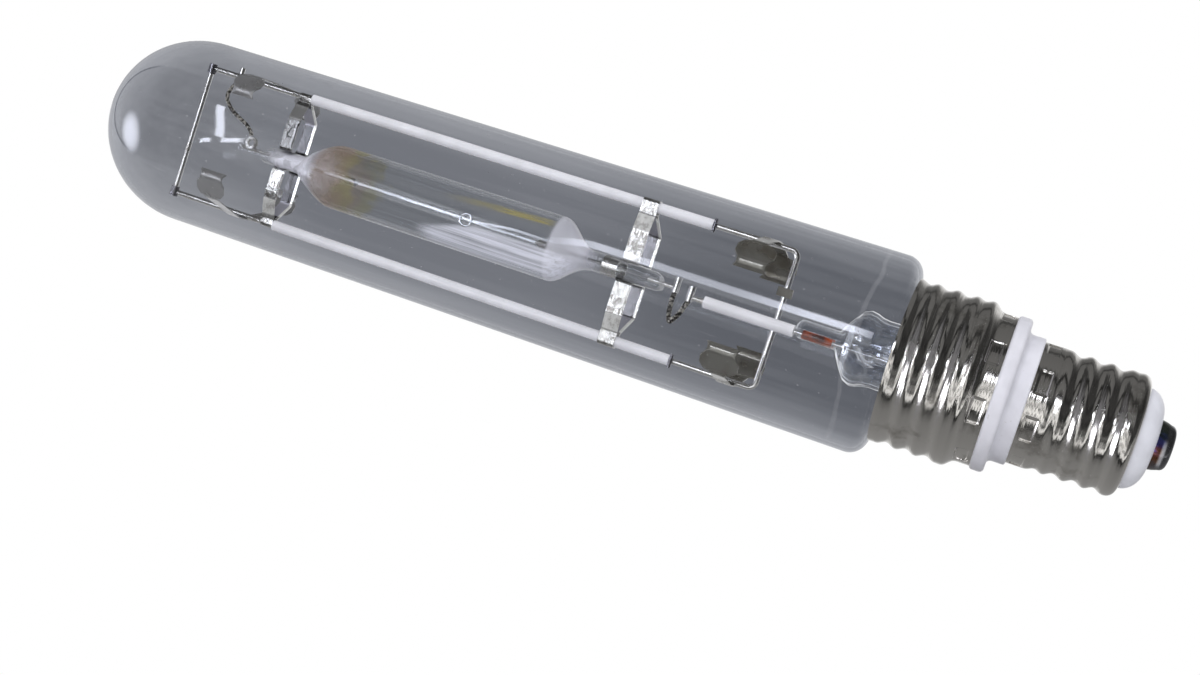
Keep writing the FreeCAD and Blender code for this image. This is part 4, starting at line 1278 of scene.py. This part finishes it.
@dataclass
class GlassEnvelope:
    """The blown outer bulb, as one wall with an outside and an inside."""

    radius: float = 33.0
    wall: float = 1.3
    dome_tip_x: float = -380.6
    shoulder_x: float = -86.8
    shoulder_round: float = 6.0
    neck_radius: float = 25.45
    neck_rim_x: float = -63.7

    def skin(self, inset: float) -> list[Point]:
        """The line of one side of the wall, from the dome's tip to the neck's rim."""
        radius = self.radius - inset
        centre_x = self.dome_tip_x + self.radius
        bend = self.shoulder_round - inset
        turn_x = self.shoulder_x - self.shoulder_round
        line = arc((centre_x, 0.0), radius, 180, 90, 28)
        line += [(centre_x + (turn_x - centre_x) * i / 12, radius) for i in range(1, 12)]
        line += arc((turn_x, self.radius - self.shoulder_round), bend, 90, 10, 10)
        neck = self.neck_radius - inset
        start = line[-1]
        line += [(start[0] + 0.5, neck + 0.8), (self.shoulder_x + 1.2 - inset * 0.4, neck)]
        line += [(self.neck_rim_x, neck)]
        return line

    def build(self) -> None:
        """Builds the bulb and gives its two sides their finishes."""
        outside = self.skin(0.0)
        inside = self.skin(self.wall)
        bulb = turned("blown_bulb", outside + inside[::-1], 128)
        bulb.data.materials.append(Finishes.envelope.material())
        bulb.data.materials.append(Finishes.envelope_inside.material())
        middle = self.radius - self.wall / 2
        for face in bulb.data.polygons:
            x, across = face.center.x / MM, math.hypot(face.center.y, face.center.z) / MM
            if x < self.dome_tip_x + self.radius:
                across = math.hypot(x - self.dome_tip_x - self.radius, across)
            limit = middle if x < self.shoulder_x - self.shoulder_round else self._middle_at(x)
            face.material_index = 0 if across > limit else 1
        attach(bulb, "root")
        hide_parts("outer_bulb")
        log.info("blown_bulb: wall %.1f mm", self.wall)

    def _middle_at(self, x: float) -> float:
        """Radius half way through the wall in the shoulder and the neck."""
        turn_x = self.shoulder_x - self.shoulder_round
        bend = self.shoulder_round - self.wall / 2
        along = min(max(x - turn_x, 0.0), bend)
        shoulder = self.radius - self.shoulder_round + math.sqrt(bend ** 2 - along ** 2)
        return max(shoulder, self.neck_radius - self.wall / 2)


def dress(obj: bpy.types.Object, finish: Finish) -> None:
    """Gives an object one finish, in place of what it has."""
    obj.data.materials.clear()
    obj.data.materials.append(finish.material())


def dress_nodes(nodes: dict[str, bpy.types.Object]) -> None:
    """Gives each carried-over node its finish by the start of its name."""
    for name, obj in nodes.items():
        starts = [key for key in NODE_FINISHES if name.startswith(key)]
        finish = NODE_FINISHES[max(starts, key=len)] if starts else Finishes.wire
        dress(obj, finish)
        log.info("%s: %s", name, finish.name)


@dataclass
class Studio:
    """White studio, lamps and the camera of the photograph."""

    focal_mm: float = 45.0
    film_mm: float = 36.0
    distance: float = 0.50326
    side_angle: float = 15.1
    roll: float = 18.13
    tilt: float = -2.702
    aim_x: float = -0.1816
    floor_z: float = -0.033
    floor_tone: Colour = (0.80, 0.80, 0.80)
    lean: float = 34.0
    glare: Colour = (9.0, 9.2, 10.0)
    blob: Colour = (8.0, 8.1, 8.8)
    blob_way: tuple[float, float, float] = (-0.885, -0.360, -0.295)
    dim_wall: Colour = (0.03, 0.03, 0.03)
    dome_wall: Colour = (0.26, 0.26, 0.28)
    plain_level: Colour = (0.62, 0.62, 0.63)
    room: tuple[Point, ...] = (
        (-180, 1.0), (-170, 0.9), (-150, 0.33), (-100, 0.28), (-62, 0.24), (-46, 0.16), (-38, 0.02),
        (-31, 0.03), (-28, 1.1), (-20, 1.3), (-17, 0.10), (-14, 0.12), (-12, 1.4), (-3, 1.4), (-1, 0.12),
        (3, 0.10), (6, 1.1), (11, 1.0), (17, 0.02), (27, 0.04), (36, 0.20), (58, 0.16),
        (64, 0.02), (70, 0.02), (78, 0.18), (120, 0.15), (126, 0.03), (132, 0.14), (150, 0.20),
        (170, 0.9), (180, 1.0),
    )

    def camera(self) -> None:
        """Places the camera where it stood for the photograph."""
        tau = math.radians(self.side_angle)
        phi = math.radians(self.tilt)
        slope = math.radians(self.roll)
        along = Vector((math.cos(tau), math.sin(tau), 0))
        ahead = Vector((-math.sin(tau), math.cos(tau), 0))
        down = Vector((0, 0, -1))
        low = down * math.cos(phi) + ahead * math.sin(phi)
        forward = ahead * math.cos(phi) - down * math.sin(phi)
        right = along * math.cos(slope) - low * math.sin(slope)
        under = along * math.sin(slope) + low * math.cos(slope)
        spot = Vector((self.aim_x, 0, 0)) - ahead * self.distance
        data = bpy.data.cameras.new("camera")
        data.lens = self.focal_mm
        data.sensor_width = self.film_mm
        data.clip_start = 0.01
        camera = bpy.data.objects.new("camera", data)
        bpy.context.scene.collection.objects.link(camera)
        turn = Matrix((right, -under, -forward)).transposed()
        camera.matrix_world = Matrix.Translation(spot) @ turn.to_4x4()
        bpy.context.scene.camera = camera

    def lamp(self, name: str, spot: Vector, aim: Vector, size: Point, power: float) -> None:
        """Adds one soft box.

        Args:
            name: its name.
            spot: where it stands.
            aim: what it points at.
            size: its width and height.
            power: its power in watts.
        """
        data = bpy.data.lights.new(name, "AREA")
        data.shape = "RECTANGLE"
        data.size, data.size_y = size
        data.energy = power
        lamp = bpy.data.objects.new(name, data)
        bpy.context.scene.collection.objects.link(lamp)
        lamp.location = spot
        lamp.rotation_euler = (aim - spot).to_track_quat("-Z", "Y").to_euler()
        lamp.visible_camera = False
        lamp.visible_glossy = False

    def walls(self, desk: NodeDesk, x: Signal, turn: Signal) -> Signal:
        """The room round the lamp, by the turn about its axis, with dimmer parts along it."""
        leaning = turn + (x + 0.1) * (self.lean / 360)
        room = desk.ramp(leaning, [(0.5 + place / 360, (value, value, value)) for place, value in self.room])
        ends = (1.0 - x.fade(0.30, 0.62)) * (1.0 - (0.0 - x).fade(0.42, 0.52))
        lit = turn.fade(0.5 - 50 / 360, 0.5 - 38 / 360)
        room = desk.blend(lit * (1.0 - ends) * 0.85, room, self.dim_wall)
        return desk.blend((0.0 - x).fade(0.60, 0.85), room, self.dome_wall)

    def soft_box(self, x: Signal, degrees: Signal) -> Signal:
        """The long soft box, which leans and fades along the lamp."""
        high = degrees - x.fade(-0.33, -0.28, 1.5, 17.0)
        strip = high.band(-5.0, -2.5, 2.5, 5.0) * x.band(-0.492, -0.480, -0.06, 0.0)
        return strip * (x.fade(-0.30, -0.25, 1.0, 0.45) + x.fade(-0.20, -0.12, 0.0, 0.55))

    def window(self, x: Signal, degrees: Signal) -> Signal:
        """Thin upright and level bars on the dome's side."""
        beam = x + degrees * 0.0001
        upright = beam.band(-0.5155, -0.5150, -0.5110, -0.5105) * degrees.band(1.0, 3.0, 38.0, 41.0)
        level = x.band(-0.5235, -0.5225, -0.5170, -0.5165) + x.band(-0.5120, -0.5110, -0.504, -0.499)
        low = degrees - (x + 0.5165) * 740.0
        return upright + level * low.band(-8.0, -7.0, -2.5, -1.5)

    def world(self) -> None:
        """White background, and a room with its lights in what glass and metal mirror."""
        world = bpy.data.worlds.new("studio")
        bpy.context.scene.world = world
        world.cycles.sampling_method = "NONE"
        desk = NodeDesk(world)
        seen_way = desk.add("ShaderNodeTexCoord", output="Generated")
        x, y, z = desk.axes(seen_way)
        turn = desk.math("ARCTAN2", z, 0.0 - y) / (2 * math.pi) + 0.5
        degrees = (turn - 0.5) * 360.0
        lights = self.soft_box(x, degrees) + self.window(x, degrees)
        room = desk.blend(lights.clamp(), self.walls(desk, x, turn), self.glare)
        beside = desk.add("ShaderNodeVectorMath", {"operation": "DOT_PRODUCT"},
                          {0: seen_way, 1: self.blob_way}, output="Value")
        room = desk.blend(beside.fade(0.946, 1.0), room, self.blob)
        level = desk.blend(desk.ray("Is Glossy Ray"), self.plain_level, room)
        straight = desk.ray("Is Camera Ray") + desk.ray("Is Transmission Ray")
        seen = desk.blend(straight.clamp(), level, WHITE)
        background = desk.add("ShaderNodeBackground", inputs={"Color": seen, "Strength": 1.0})
        desk.add("ShaderNodeOutputWorld", inputs={"Surface": background})

    def floor(self) -> None:
        """A pale floor under the lamp."""
        bpy.ops.object.select_all(action="DESELECT")
        bpy.ops.mesh.primitive_plane_add(size=6.0, location=(0, 0, self.floor_z))
        floor = bpy.context.active_object
        floor.name = "floor"
        floor.visible_glossy = False
        material = bpy.data.materials.new("pale_floor")
        desk = NodeDesk(material)
        camera = desk.ray("Is Camera Ray")
        matte = desk.principled(Base_Color=self.floor_tone, Roughness=0.9)
        white = desk.add("ShaderNodeEmission", inputs={"Color": WHITE, "Strength": 1.0})
        desk.surface(desk.mix(camera, matte, white))
        floor.data.materials.append(material)

    def build(self) -> None:
        """Sets up the whole studio."""
        scene = bpy.context.scene
        scene.view_settings.view_transform = "Standard"
        scene.cycles.transparent_max_bounces = 40
        self.world()
        self.floor()
        self.camera()
        middle = Vector((-0.19, 0, 0))
        self.lamp("front_box", Vector((-0.15, -0.9, 0.35)), middle, (0.7, 0.3), 3.2)
        self.lamp("top_box", Vector((-0.25, -0.15, 0.9)), middle, (0.9, 0.3), 2.0)


def main() -> None:
    """Builds the lamp and its studio."""
    logging.basicConfig(level=logging.INFO, format="%(name)s: %(message)s")
    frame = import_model()
    bpy.ops.object.select_all(action="DESELECT")
    dress_nodes(frame["nodes"])
    GlassEnvelope().build()
    QuartzBurner().build()
    GlassStem().build()
    CapRing().build()
    CapNose().build()
    for lead in lead_routes():
        lead.build()
    Studio().build()


if __name__ == "__main__":
    main()
